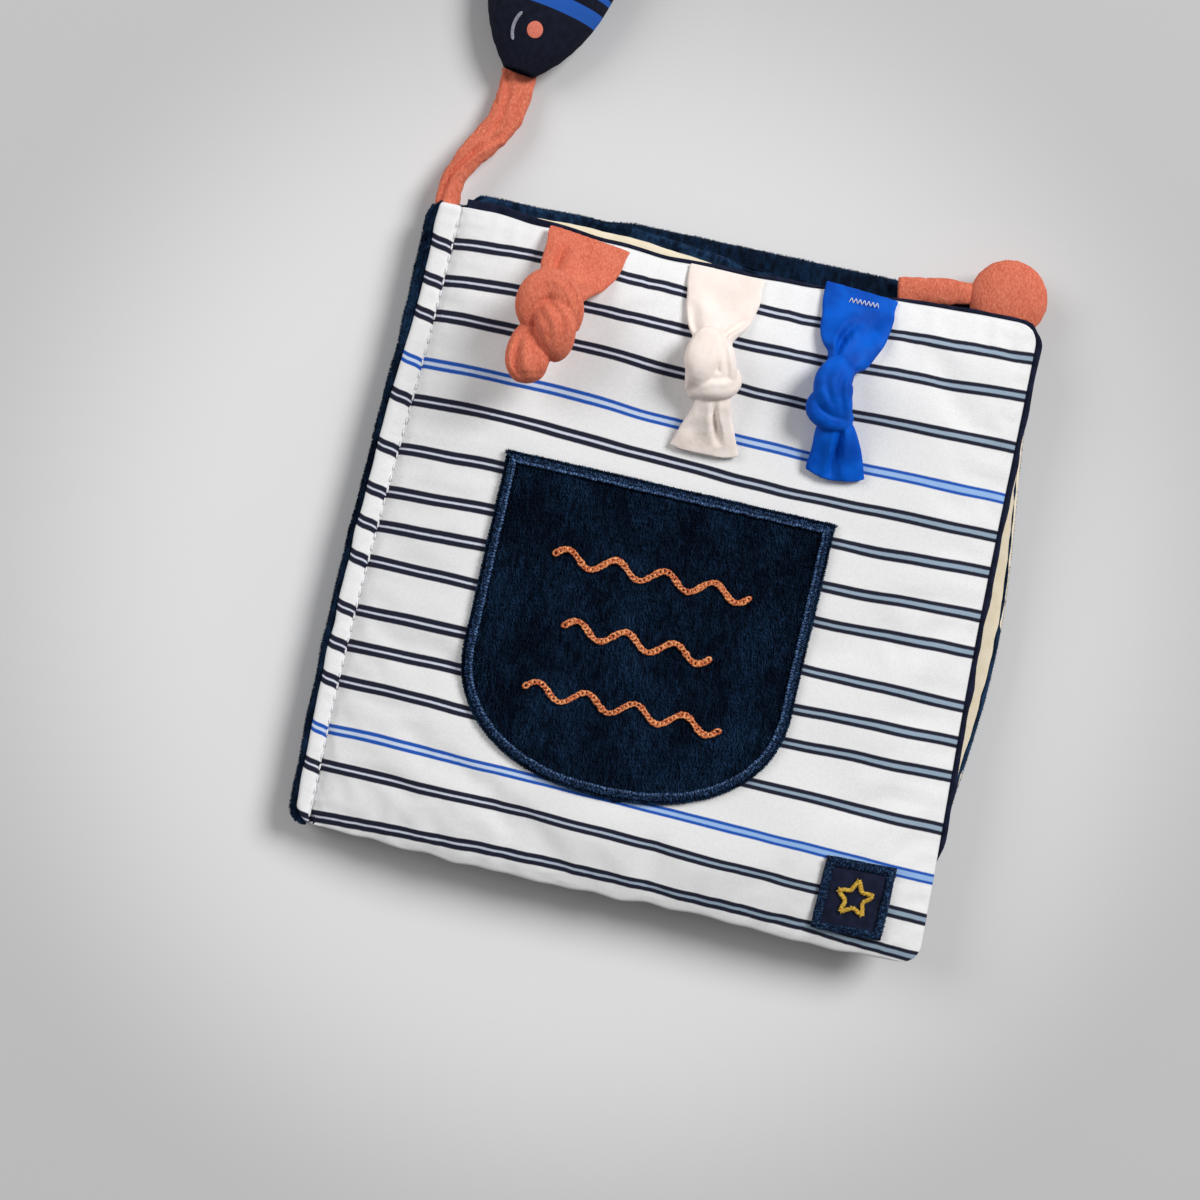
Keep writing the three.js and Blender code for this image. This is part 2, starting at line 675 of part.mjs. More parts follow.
function addStrap() {
  const rootHalf = strapWidth / 2;
  const anchor = new THREE.Shape();
  const anchorFoot = halfHeight - anchorDepth;
  const left = Math.max(strapPivot.x - rootHalf, marginX(anchorFoot) + pageMarginInset);
  const right = Math.min(strapPivot.x + rootHalf, seamX(anchorFoot) - clearance);
  const reach = rootHalf + clearance;
  const dropAt = (x) => Math.sqrt(Math.max(0, reach ** 2 - (x - strapPivot.x) ** 2));
  anchor.moveTo(left, anchorFoot);
  anchor.lineTo(right, anchorFoot);
  const arcSteps = 8;
  for (let i = 0; i <= arcSteps; i += 1) {
    const x = mix(right, left, i / arcSteps);
    anchor.lineTo(x, strapPivot.y - dropAt(x));
  }
  const depth = pageHighSeam - pageLowSeam;
  const tab = new THREE.ExtrudeGeometry(anchor, { depth, bevelEnabled: false });
  tab.translate(0, 0, pageLowSeam);
  addMesh('strap_anchor', tab, coralMuslin());

  const up = new THREE.Vector3(0, 0, 1);
  const points = strapRouteShares.map(([sideways, along]) => new THREE.Vector3(
    mix(strapPivot.x, fishMouth.x, sideways),
    mix(strapPivot.y, fishMouth.y - clearance, along),
    mix(strapRootZ, strapEndZ, easedShare(along)),
  ));
  const curve = new THREE.CatmullRomCurve3(points);
  const rings = [];
  const rootSteps = 4;
  const startSide = new THREE.Vector3(1, 0, 0);
  for (let i = 0; i < rootSteps; i += 1) {
    const angle = (Math.PI / 2) * ((i + rootTipShare) / rootSteps);
    const centre = points[0].clone();
    centre.y -= rootHalf * Math.cos(angle);
    rings.push(ovalRing(centre, startSide, up, rootHalf * Math.sin(angle), strapThickness / 2, ribbonSides));
  }
  const steps = 14;
  for (let i = 0; i <= steps; i += 1) {
    const tangent = curve.getTangentAt(i / steps);
    const side = new THREE.Vector3(tangent.y, -tangent.x, 0).normalize();
    const across = new THREE.Vector3().crossVectors(side, tangent).normalize();
    const centre = curve.getPointAt(i / steps);
    rings.push(ovalRing(centre, side, across, rootHalf, strapThickness / 2, ribbonSides));
  }
  addMesh('fish_strap', loft(rings), coralMuslin());
}

// Fish: two panels sewn round a filling, with a flat tail. Each row: share along, share of the half width
const fishRowShares = [
  [0, 0.26], [0.04, 0.38], [0.1, 0.56], [0.18, 0.73], [0.28, 0.87], [0.4, 0.96], [0.52, 1], [0.64, 0.95],
  [0.76, 0.82], [0.87, 0.62], [0.95, 0.45], [1, 0.36],
];
const fishPlace = (along, across) => [
  fishMouth.x + along * Math.sin(fishTurn) + across * Math.cos(fishTurn),
  fishMouth.y + along * Math.cos(fishTurn) - across * Math.sin(fishTurn),
];
const fishLocal = (x, y) => {
  const dx = x - fishMouth.x;
  const dy = y - fishMouth.y;
  const sine = Math.sin(fishTurn);
  const cosine = Math.cos(fishTurn);
  return [dx * sine + dy * cosine, dx * cosine - dy * sine];
};
function fishHalfAt(along) {
  const share = clamp01(along / fishLength);
  const next = Math.max(1, fishRowShares.findIndex(([rowShare]) => rowShare >= share));
  const [fromShare, fromHalf] = fishRowShares[next - 1];
  const [toShare, toHalf] = fishRowShares[next];
  return fishHalfWidth * mix(fromHalf, toHalf, (share - fromShare) / (toShare - fromShare));
}
// The fish is thinner at its mouth and tail, in step with its width
const fishRim = 2 * cottonCloth + clearance;
function fishSwell(x, y) {
  const [along, across] = fishLocal(x, y);
  const half = fishHalfAt(along);
  const girth = half / fishHalfWidth;
  return girth * crown(half - Math.abs(across), Math.min(fishCrown, half));
}
const fishLow = (x, y) => Math.max(0, mix(fishSeamZ - fishRim / 2, -footCut, fishSwell(x, y)));
const fishHigh = (x, y) => mix(fishSeamZ + fishRim / 2, fishThickness, fishSwell(x, y));

function fishGrid(inset) {
  const lastRow = fishRowShares.length - 1;
  return (u, v) => {
    const [share] = fishRowShares[Math.round(v * lastRow)];
    const along = mix(inset, fishLength - inset, share);
    return fishPlace(along, mix(-1, 1, easedShare(u)) * (fishHalfAt(along) - inset));
  };
}

function addFish() {
  const rows = fishRowShares.length - 1;
  const ease = (share) => share;
  addMesh('fish_under_panel', slab({
    columns: 8, rows, ease, place: fishGrid(0),
    low: fishLow,
    high: (x, y) => fishLow(x, y) + cottonCloth,
  }), navyKnit());
  addMesh('fish_stuffing', slab({
    columns: 6, rows, ease, place: fishGrid(fishWadInset),
    low: (x, y) => fishLow(x, y) + cottonCloth + wadClearance,
    high: (x, y) => fishHigh(x, y) - cottonCloth - wadClearance,
  }), wadding());
  addMesh('fish_top_panel', slab({
    columns: 8, rows, ease, place: fishGrid(0),
    low: (x, y) => fishHigh(x, y) - cottonCloth,
    high: fishHigh,
  }), navyKnit());

  const tailRoot = fishHalfAt(fishLength);
  addMesh('fish_tail', slab({
    columns: 6, rows: 4, ease,
    place: (u, v) => {
      const acrossShare = mix(-1, 1, u);
      const notch = tailNotch * (1 - Math.abs(acrossShare)) * v;
      const along = fishLength + clearance + tailLength * v - notch;
      return fishPlace(along, acrossShare * mix(tailRoot, tailHalfWidth, v ** tailFlareShare));
    },
    low: () => fishSeamZ - tailThickness / 2,
    high: () => fishSeamZ + tailThickness / 2,
  }), navyKnit());

  const eyeSides = 12;
  const [eyeX, eyeY] = fishPlace(...eyePlace);
  const rim = [];
  for (let i = 0; i < eyeSides; i += 1) {
    const angle = (2 * Math.PI * i) / eyeSides;
    rim.push([eyeX + eyeRadius * Math.cos(angle), eyeY + eyeRadius * Math.sin(angle)]);
  }
  const eyeRing = (raised) => rim.map(([x, y]) =>
    new THREE.Vector3(x, y, fishHigh(x, y) + clearance + raised));
  addMesh('fish_eye', loft([eyeRing(0), eyeRing(threadHeight)]), coralMuslin());

  const gillSteps = 6;
  const gill = [];
  for (let i = 0; i <= gillSteps; i += 1) {
    const angle = Math.PI + gillSweep * mix(-1, 1, i / gillSteps);
    gill.push(fishPlace(gillPlace[0] - gillRadius * Math.sin(angle),
      gillPlace[1] + gillRadius + gillRadius * Math.cos(angle)));
  }
  addMesh('fish_gill_line', threadBand(gill, gillWidth, fishHigh), material(0.3, 0.3, 0.35));
}

// Coral tab sewn to the back cover's head edge, with a round stuffed end
function addCornerTab() {
  const up = new THREE.Vector3(0, 0, 1);
  const padLow = backHigh(padCentre[0], backEdges.head(padCentre[0])) + padSit;
  const padMid = padLow + padThickness / 2;
  const start = new THREE.Vector3(...tabStart, backHigh(...tabStart) + clearance + tabThickness / 2);
  const end = new THREE.Vector3(...tabEnd, padMid);
  const heading = end.clone().sub(start).setZ(0).normalize();
  const side = new THREE.Vector3(-heading.y, heading.x, 0);
  const rings = [];
  const steps = 4;
  for (let i = 0; i <= steps; i += 1) {
    const share = i / steps;
    const centre = start.clone().lerp(end, share).setZ(mix(start.z, end.z, easedShare(share)));
    rings.push(ovalRing(centre, side, up, tabWidth / 2, tabThickness / 2, ribbonSides));
  }
  addMesh('corner_tab_strap', loft(rings), coralMuslin());

  const profile = [];
  const padSteps = 8;
  for (let i = 0; i <= padSteps; i += 1) {
    const angle = -Math.PI / 2 + (Math.PI * i) / padSteps;
    const radius = i % padSteps ? padRadius * Math.cos(angle) ** padRoundShare : 0;
    profile.push(new THREE.Vector2(radius, (padThickness / 2) * Math.sin(angle)));
  }
  const pad = new THREE.LatheGeometry(profile, 20);
  pad.rotateX(Math.PI / 2);
  pad.translate(padCentre[0], padCentre[1], padMid);
  addMesh('corner_tab_pad', pad, coralMuslin());
}

addBackCover();
addPage();
addFrontCover();
addSpineMargin();
addPatch();
addEmbroidery();
addLabel();
addRibbons();
addStrap();
addFish();
addCornerTab();

export default book;
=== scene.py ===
# Cloth activity book: stuffed cloth leaves on a spine seam, knotted ribbons, and a stuffed fish on a strap
import math
import random
import bmesh
import bpy
from mathutils import Matrix, Vector, noise
from mathutils.bvhtree import BVHTree


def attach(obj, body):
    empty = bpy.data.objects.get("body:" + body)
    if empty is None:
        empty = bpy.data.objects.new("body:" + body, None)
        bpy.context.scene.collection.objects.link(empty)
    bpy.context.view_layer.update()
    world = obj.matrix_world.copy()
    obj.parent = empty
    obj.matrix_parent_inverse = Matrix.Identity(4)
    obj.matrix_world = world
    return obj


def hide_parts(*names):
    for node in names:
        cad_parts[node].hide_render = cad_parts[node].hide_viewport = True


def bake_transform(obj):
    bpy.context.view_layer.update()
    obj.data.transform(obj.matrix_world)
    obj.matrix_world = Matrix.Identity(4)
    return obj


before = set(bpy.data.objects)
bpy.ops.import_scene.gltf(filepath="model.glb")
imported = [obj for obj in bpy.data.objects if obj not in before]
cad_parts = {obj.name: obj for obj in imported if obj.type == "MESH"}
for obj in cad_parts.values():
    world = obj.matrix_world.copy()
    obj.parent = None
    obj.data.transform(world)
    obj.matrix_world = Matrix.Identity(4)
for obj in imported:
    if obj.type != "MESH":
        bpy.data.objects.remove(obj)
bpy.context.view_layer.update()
mm = 0.001
upwards = Vector((0, 0, 1))
print('frame loaded')

# Camera: nearly straight above, turned so that the book leans to the right
view = {'aim': Vector((-18.5, -9.9, 12.0)) * mm, 'distance': 584.6 * mm, 'leanX': -1.84, 'leanY': 0.85,
        'roll': -11.86, 'lens': 61.2, 'sensor': 36.0}


def makeCamera():
    outX, outY = math.sin(math.radians(view['leanX'])), math.sin(math.radians(view['leanY']))
    outwards = Vector((outX, outY, math.sqrt(1 - outX ** 2 - outY ** 2)))
    roll = math.radians(view['roll'])
    right = (-outwards).cross(Vector((math.sin(roll), math.cos(roll), 0))).normalized()
    up = outwards.cross(right)
    data = bpy.data.cameras.new('camera')
    data.lens, data.sensor_width, data.sensor_fit = view['lens'], view['sensor'], 'AUTO'
    data.clip_start, data.clip_end = 0.01, 20
    camera = bpy.data.objects.new('camera', data)
    turn = Matrix((right, up, outwards)).transposed().to_4x4()
    camera.matrix_world = Matrix.Translation(view['aim'] + outwards * view['distance']) @ turn
    bpy.context.scene.collection.objects.link(camera)
    bpy.context.scene.camera = camera


makeCamera()


# Small helpers for shares and smooth steps
def clamp(value, low=0.0, high=1.0):
    return min(high, max(low, value))


def mix(start, end, share):
    return start + (end - start) * share


def smooth(value):
    share = clamp(value)
    return share * share * (3 - 2 * share)


def eased(share):  # closer steps near both ends, where the cloth turns down
    return mix(share, (1 - math.cos(math.pi * share)) / 2, 0.8)


def signed(value, power):  # the power of a value between -1 and 1, with its sign kept
    return math.copysign(abs(value) ** power, value)


def bell(share):
    return math.sin(math.pi * clamp(share)) ** 2


def ripple(x, y, size, seed):  # smooth noise between -1 and 1, with features of the given size
    return noise.noise(Vector((x / size, y / size, seed)))


def roundRipple(angle, along, size, seed, folds=1.0):  # the same, closed round a tube
    return noise.noise(Vector((folds * math.cos(angle) + seed * 3.7, folds * math.sin(angle), along / size)))


# Shader wires: arithmetic on a socket adds its Math node
class Wire:
    def __init__(self, tree, socket):
        self.tree = tree
        self.socket = socket

    def node(self, kind, settings=None, sockets=None, out=0):
        made = self.tree.nodes.new('ShaderNode' + kind)
        for key, value in (settings or {}).items():
            if key == 'stops':
                ramp = made.color_ramp
                for index, (place, colour) in enumerate(value):
                    stop = ramp.elements[index] if index < 2 else ramp.elements.new(place)
                    stop.position, stop.color = place, (*colour, 1)
            else:
                setattr(made, key, value)
        for key, value in (sockets or {}).items():
            if isinstance(value, Wire):
                self.tree.links.new(value.socket, made.inputs[key])
            elif isinstance(value, tuple) and len(value) == 3 and made.inputs[key].type == 'RGBA':
                made.inputs[key].default_value = (*value, 1)
            else:
                made.inputs[key].default_value = value
        return Wire(self.tree, made.outputs[out])

    def maths(self, operation, *values):
        return self.node('Math', {'operation': operation}, dict(enumerate(values)))

    def __add__(self, other):
        return self.maths('ADD', self, other)

    def __sub__(self, other):
        return self.maths('SUBTRACT', self, other)

    def __rsub__(self, other):
        return self.maths('SUBTRACT', other, self)

    def __mul__(self, other):
        return self.maths('MULTIPLY', self, other)

    def __truediv__(self, other):
        return self.maths('DIVIDE', self, other)

    def __pow__(self, other):
        return self.maths('POWER', self, other)

    def __abs__(self):
        return self.maths('ABSOLUTE', self)

    __radd__ = __add__
    __rmul__ = __mul__

    def least(self, other):
        return self.maths('MINIMUM', self, other)

    def most(self, other):
        return self.maths('MAXIMUM', self, other)

    def wave(self):
        return self.maths('SINE', self)

    def fade(self, start, end):  # 0 at start, 1 at end, smooth between
        return self.node('MapRange', {'interpolation_type': 'SMOOTHSTEP'},
                         {'Value': self, 'From Min': start, 'From Max': end})

    def between(self, first, second):  # this wire as the share of the second colour
        return self.node('Mix', {'data_type': 'RGBA'}, {0: self, 6: first, 7: second}, out=2)

    def part(self, axis):
        return self.node('SeparateXYZ', None, {0: self}, out=axis)

    def scaled(self, x, y, z):
        return self.node('VectorMath', {'operation': 'MULTIPLY'}, {0: self, 1: (x, y, z)})

    def cloud(self, scale, detail=2.0, rough=0.5):  # noise around 0.5
        return self.node('TexNoise', None, {'Vector': self, 'Scale': scale, 'Detail': detail, 'Roughness': rough})


class Finish:  # one material with its coordinates and its Principled shader
    def __init__(self, name, roughness=0.85, **fixed):
        self.material = bpy.data.materials.new(name)
        self.material.use_nodes = True
        tree = self.material.node_tree
        self.shader = tree.nodes['Principled BSDF']
        start = Wire(tree, None)
        self.place = start.node('TexCoord', out='Object')
        self.flat = start.node('TexCoord', out='UV')
        self.set('Roughness', roughness)
        self.set('Specular IOR Level', 0.25)
        for key, value in fixed.items():
            self.set(key, value)

    def set(self, key, value):
        socket = self.shader.inputs[key]
        if isinstance(value, Wire):
            value.tree.links.new(value.socket, socket)
        else:
            socket.default_value = (*value, 1) if isinstance(value, tuple) and socket.type == 'RGBA' else value

    def bump(self, height, distance, strength=1.0):
        self.set('Normal', height.node('Bump', None, {'Height': height, 'Distance': distance, 'Strength': strength}))


def srgb(red, green, blue):  # from 0 to 255 to the linear values that Blender takes
    def linear(level):
        share = level / 255
        return share / 12.92 if share <= 0.04045 else ((share + 0.055) / 1.055) ** 2.4
    return linear(red), linear(green), linear(blue)


# Mesh helpers
def finishPiece(mesh, name, body, material, stands=()):
    for face in mesh.faces:
        face.smooth = True
    data = bpy.data.meshes.new(name)
    mesh.to_mesh(data)
    mesh.free()
    piece = bpy.data.objects.new(name, data)
    bpy.context.scene.collection.objects.link(piece)
    for one in material if isinstance(material, (list, tuple)) else [material]:
        data.materials.append(one.material)
    if body:
        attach(piece, body)
    if stands:
        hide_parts(*stands)
    return piece


def loopsOf(mesh):
    return (loop for face in mesh.faces for loop in face.loops)


def gridMesh(columns, rows, place, flat=None, isTube=False):
    # A grid over u and v from 0 to 1, put in place (in millimetres) by a function, with its UV map in metres
    mesh = bmesh.new()
    layer = mesh.loops.layers.uv.new('UVMap')
    bmesh.ops.create_grid(mesh, x_segments=columns, y_segments=rows, size=0.5, calc_uvs=True)
    for loop in loopsOf(mesh):
        across, along = flat(*loop[layer].uv) if flat else loop[layer].uv
        loop[layer].uv = (across * mm, along * mm)
    for vert in mesh.verts:
        vert.co = Vector(place(vert.co.x + 0.5, vert.co.y + 0.5)) * mm
    if isTube:
        closeUp(mesh)
    return mesh


def closeUp(mesh):  # joins the seams, closes the open ends and turns the faces outwards
    bmesh.ops.remove_doubles(mesh, verts=mesh.verts, dist=1e-6)
    ends = [edge for edge in mesh.edges if edge.is_boundary]
    if ends:
        bmesh.ops.holes_fill(mesh, edges=ends, sides=0)
    bmesh.ops.recalc_face_normals(mesh, faces=mesh.faces)


def joined(meshes):
    whole = meshes[0]
    for part in meshes[1:]:
        data = bpy.data.meshes.new('part')
        part.to_mesh(data)
        part.free()
        whole.from_mesh(data)
        bpy.data.meshes.remove(data)
    return whole


def soften(mesh, factor):
    bmesh.ops.smooth_vert(mesh, verts=mesh.verts, factor=factor, use_axis_x=True, use_axis_y=True, use_axis_z=True)


def melted(mesh, voxel, rounds):
    # Overlapping strands as one skin, with the creases between them softened; its UV map is its plan
    data = bpy.data.meshes.new('melted')
    mesh.to_mesh(data)
    mesh.free()
    form = bpy.data.objects.new('melted', data)
    bpy.context.scene.collection.objects.link(form)
    skin = form.modifiers.new('skin', 'REMESH')
    skin.mode, skin.voxel_size = 'VOXEL', voxel * mm
    whole = bmesh.new()
    whole.from_mesh(form.evaluated_get(bpy.context.evaluated_depsgraph_get()).to_mesh())
    form.to_mesh_clear()
    bpy.data.objects.remove(form)
    bpy.data.meshes.remove(data)
    for _ in range(rounds):
        soften(whole, 0.5)
    layer = whole.loops.layers.uv.verify()
    for loop in loopsOf(whole):
        loop[layer].uv = loop.vert.co.xy
    return whole


def manyOf(form, places):
    # One small form copied to each place in a list of matrices
    copy, count = form.verts.layers.int.new('copy'), 1
    while count < len(places):
        made = bmesh.ops.duplicate(form, geom=form.verts[:] + form.edges[:] + form.faces[:])
        for vert in (item for item in made['geom'] if isinstance(item, bmesh.types.BMVert)):
            vert[copy] += count
        count *= 2
    bmesh.ops.delete(form, geom=[vert for vert in form.verts if vert[copy] >= len(places)], context='VERTS')
    for vert in form.verts:
        vert.co = places[vert[copy]] @ vert.co
    form.verts.layers.int.remove(copy)
    return form


def frameAt(centre, along, up, sizes=(1, 1, 1)):  # a matrix at a point (in millimetres), with its x axis along
    xAxis = along.normalized()
    yAxis = up.cross(xAxis).normalized()
    zAxis = xAxis.cross(yAxis)
    turn = Matrix((xAxis * sizes[0], yAxis * sizes[1], zAxis * sizes[2])).transposed().to_4x4()
    return Matrix.Translation(Vector(centre) * mm) @ turn


print('helpers ready')

# Plan of the closed book in millimetres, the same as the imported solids
book = {'width': 180, 'height': 184, 'corner': 6, 'seamInset': 7.15, 'seamSlant': 4.7, 'spineSlant': 1.4,
        'riseWidth': 50, 'crownWidth': 28, 'crownShare': 0.55, 'headDip': 3.5, 'headDipShare': 0.44,
        'footBow': 2, 'freeDraw': 1, 'footLift': 2.1}
halfWidth, halfHeight = book['width'] / 2, book['height'] / 2


def spineBow(y):  # the soft spine bows out a little towards the foot
    return 3.1 * smooth((80 - y) / 120) * (1 - 0.2 * smooth((-y - 50) / 40))


def seamX(y):
    return -halfWidth + book['seamInset'] + book['seamSlant'] * y / book['height'] - spineBow(y)


def spineX(y):
    return -halfWidth + book['spineSlant'] * y / book['height'] - spineBow(y)


def marginX(y):  # where the margin's folded edge lies over the plush of the spine
    return spineX(y) + 1.5 + 1.3 * smooth((y - 30) / 35) + 0.45 * ripple(0, y, 9, 44)


def headDipAt(x):
    share, turn = x / book['width'] + 0.5, book['headDipShare']
    skewed = share / turn / 2 if share < turn else 0.5 + (share - turn) / (1 - turn) / 2
    return book['headDip'] * bell(skewed)


def fromCorners(x):  # 0 near the two corners, 1 between them
    return clamp((halfWidth - 8 - abs(x)) / 12)


# Each leaf's edges in plan
edges = {
    'front': {'head': lambda x: halfHeight - headDipAt(x) + 0.7 * ripple(x, 0, 13, 8) * fromCorners(x),
              'foot': lambda x: (-halfHeight - book['footBow'] * bell(x / book['width'] + 0.5) + book['footLift']
                                 - 3.6 * smooth((x - 18) / 50) + 0.5 * math.exp(-(x + halfWidth) / 12)
                                 + 0.8 * ripple(x, 0, 8, 9) * fromCorners(x)),
              'spine': lambda y: seamX(y) + 0.3,
              'free': lambda y: (halfWidth - 0.3 - 2 * y / halfHeight
                                 - book['freeDraw'] * bell(y / book['height'] + 0.5))},
    'page': {'head': lambda x: (halfHeight + 2.6 - 11 * clamp((x - seamX(0)) / book['width'])
                                + 2.2 * bell((x + 76) / 92) + 0.5 * ripple(x, 0, 15, 10)
                                - 4 * (1 - smooth((x - seamX(halfHeight)) / 6))),
             'foot': lambda x: -halfHeight + 4.5,
             'spine': lambda y: seamX(y) + spineBow(y) + 1.2,
             'free': lambda y: halfWidth + 6.5 * bell(y / book['height'] + 0.5)},
    'back': {'head': lambda x: halfHeight + 6.6 * clamp((x - seamX(halfHeight)) / book['riseWidth']),
             'foot': lambda x: -halfHeight + 3.2,
             'spine': spineX,
             'free': lambda y: halfWidth - 1.5}}


def placeIn(leaf, inset=0.0, corner=book['corner'], roundSpine=False, seamSideInset=None):
    # A place in plan inside a leaf's four edges, from shares across and along
    plan = edges[leaf]
    spineInset = inset if seamSideInset is None else seamSideInset

    def place(u, v):
        headY, footY = halfHeight - inset, -halfHeight + inset
        levelY = mix(footY, headY, v)
        past = clamp(max(levelY - headY + corner, footY + corner - levelY, 0) / corner)
        draw = corner * (1 - math.sqrt(1 - past ** 2))
        left = plan['spine'](levelY) + spineInset + (draw if roundSpine else 0)
        x = mix(left, plan['free'](levelY) - inset - draw, u)
        return x, mix(plan['foot'](x) + inset, plan['head'](x) - inset, v)
    return place


def crown(distance, width):
    return math.sin(math.pi / 2 * clamp(distance / width)) ** book['crownShare']


def swelling(leaf, x, y):
    plan, width = edges[leaf], book['crownWidth']
    share = crown(plan['free'](y) - x, width) * crown(plan['head'](x) - y, width) * crown(y - plan['foot'](x), width)
    return share * crown(x - spineX(y), 5) if leaf == 'back' else share


# Heights of each leaf: underside and top, each at the seam and in the middle, then the rim's thickness and its share
# of the way up
heights = {'front': (9.3, 15.0, 13.6, 22.6, 1.5, 0.25), 'page': (6.3, 8.3, 9.0, 14.7, 1.5, 0.4),
           'back': (0, 0, 6, 8, 2.2, 0.35)}


def leafHeights(leaf, x, y):
    seamLow, fullLow, seamHigh, fullHigh, rim, rimShare = heights[leaf]
    rise = math.sin(math.pi / 2 * clamp((x - seamX(y)) / book['riseWidth']))
    bed, top = mix(seamLow, fullLow, rise), mix(seamHigh, fullHigh, rise)
    share = swelling(leaf, x, y)
    rimLow = bed + (top - bed - rim) * rimShare
    if leaf == 'back':
        return max(0, mix(rimLow, -0.5, share)), mix(rimLow + rim, top, share)
    low, high = mix(rimLow, bed, share), mix(rimLow + rim, top, share)
    if leaf == 'front':
        low += 0.9 * clamp(1 - (x - seamX(y)) / 6)
    return low, max(high, low + rim)


def pucker(leaf, x, y):
    # Small gathers that run in from the sewn edges and the spine seam, and slow waves over the whole leaf
    plan = edges[leaf]
    fromSpine, fromFree = x - seamX(y), plan['free'](y) - x
    fromHead, fromFoot = plan['head'](x) - y, y - plan['foot'](x)
    height = 0.55 * math.exp(-fromSpine / 9) * ripple(0, y, 3.1, 1) if fromSpine > 0 else 0
    height += 0.45 * math.exp(-fromFree / 7) * ripple(0, y, 4.3, 2)
    height += 0.55 * math.exp(-fromHead / 8) * ripple(x, 0, 4.6, 3)
    height += 0.45 * math.exp(-fromFoot / 8) * ripple(x, 0, 4.4, 4)
    edge = clamp(min(fromSpine, fromFree, fromHead, fromFoot) / 14)
    height += edge * (0.55 * ripple(x, y * 1.5, 26, 5) + 0.16 * ripple(x * 0.6, y, 9, 6))
    return height * clamp(min(fromSpine, fromFree, fromHead, fromFoot) / 1.5 + 0.25)


def seamTuck(x, y):  # the panel turns down where it meets the spine margin
    return 2.6 * math.exp(-max(0.0, x - seamX(y)) / 1.8)


relaxedTop = []  # the front panel as it lies after its simulation


def frontTop(x, y):
    if relaxedTop:
        hit = relaxedTop[0].ray_cast(Vector((x, y, 60)) * mm, Vector((0, 0, -1)))[0]
        if hit:
            return hit.z / mm
    return leafHeights('front', x, y)[1] + pucker('front', x, y) - seamTuck(x, y)


print('plan ready')

# Striped cotton: pairs of navy lines, with a blue pair near the head and another near the foot
stripes = {'left': (12.5, 23.3, 33.3, 47, 57.8, 72.6, 85.2, 95.2, 105.3, 120, 130.4, 140.6, 155, 165.8, 180.9),
           'right': (6, 17.5, 32.5, 47.5, 59, 69.5, 82.3, 92.8, 109, 119.5, 129.6, 145, 160, 172, 183),
           'blueOnes': (3, 12), 'halfGap': 1.05, 'farGap': 1.2, 'leftLine': 0.77, 'rightLine': 0.57,
           'blueShare': 0.74, 'soft': 0.2,
           'cloth': srgb(239, 239, 240), 'navy': srgb(24, 26, 46), 'blue': srgb(24, 84, 180),
           'leftFill': srgb(216, 220, 236), 'rightFill': srgb(148, 168, 186), 'leftBlueFill': srgb(206, 220, 243),
           'rightBlueFill': srgb(150, 186, 234)}


def printPlace(x, y, z):  # where the print lies: it spreads a little where the filling lifts the cloth
    across = 0.967 * x + 0.0018 * x * z + 0.112 * z - 2.8
    along = 0.993 * y + 0.0142 * x + 0.0013 * y * z - 0.016 * z + 0.72
    return across + book['width'] / 2, book['height'] / 2 - along


def weave(finish, pitch, depth):  # crossed threads on the piece's own UV map, with uneven thickness
    across = finish.flat.part(0) * (math.tau / (pitch * mm))
    along = finish.flat.part(1) * (math.tau / (pitch * mm))
    threads = across.wave() * along.wave()
    uneven = finish.flat.cloud(1 / (pitch * 4 * mm), 2)
    finish.bump(threads * 0.5 + uneven * 0.7, depth * mm)
    return threads, uneven


def makeStripedCotton():
    finish = Finish('stripedCotton', 0.8)
    across, down = finish.flat.part(0) / (book['width'] * mm), finish.flat.part(1) / mm
    ease = (across.most(0.001) ** 0.7 * math.tau).wave() * (down * -0.012 + 1.9).most(0.3)
    sag = (across * math.pi).wave() * down.fade(140, 182) * 3
    level = down + ease + sag + (finish.flat.cloud(38, 1) - 0.5) * 1.5
    gap = across.fade(0.7, 0.95) * (stripes['farGap'] - stripes['halfGap']) + stripes['halfGap']
    line = across * (stripes['rightLine'] - stripes['leftLine']) + stripes['leftLine']
    nearest = {}
    for index, (left, right) in enumerate(zip(stripes['left'], stripes['right'])):
        dye = 'blue' if index in stripes['blueOnes'] else 'navy'
        away = abs(level - (across * (right - left) + left))
        nearest[dye] = nearest[dye].least(away) if dye in nearest else away
    wander = finish.flat.cloud(900, 3)
    cotton = wander.fade(0.35, 0.7).between(stripes['cloth'], tuple(part * 0.965 for part in stripes['cloth']))
    deeper = (across + down * 0.0016).fade(0.35, 1.0)
    colour = cotton
    for dye, fill in (('navy', deeper.between(stripes['leftFill'], stripes['rightFill'])),
                      ('blue', deeper.between(stripes['leftBlueFill'], stripes['rightBlueFill']))):
        away = nearest[dye]
        inside = (gap - away).fade(-0.1, 0.1)
        colour = inside.between(colour, fill)
        offLine = abs(away - gap) + (wander - 0.5) * 0.16
        reach = line * (stripes['blueShare'] if dye == 'blue' else 1)
        ink = (reach - offLine).fade(-stripes['soft'], stripes['soft'])
        colour = ink.between(colour, stripes[dye])
    finish.set('Base Color', colour)
    weave(finish, 0.62, 0.05)
    return finish


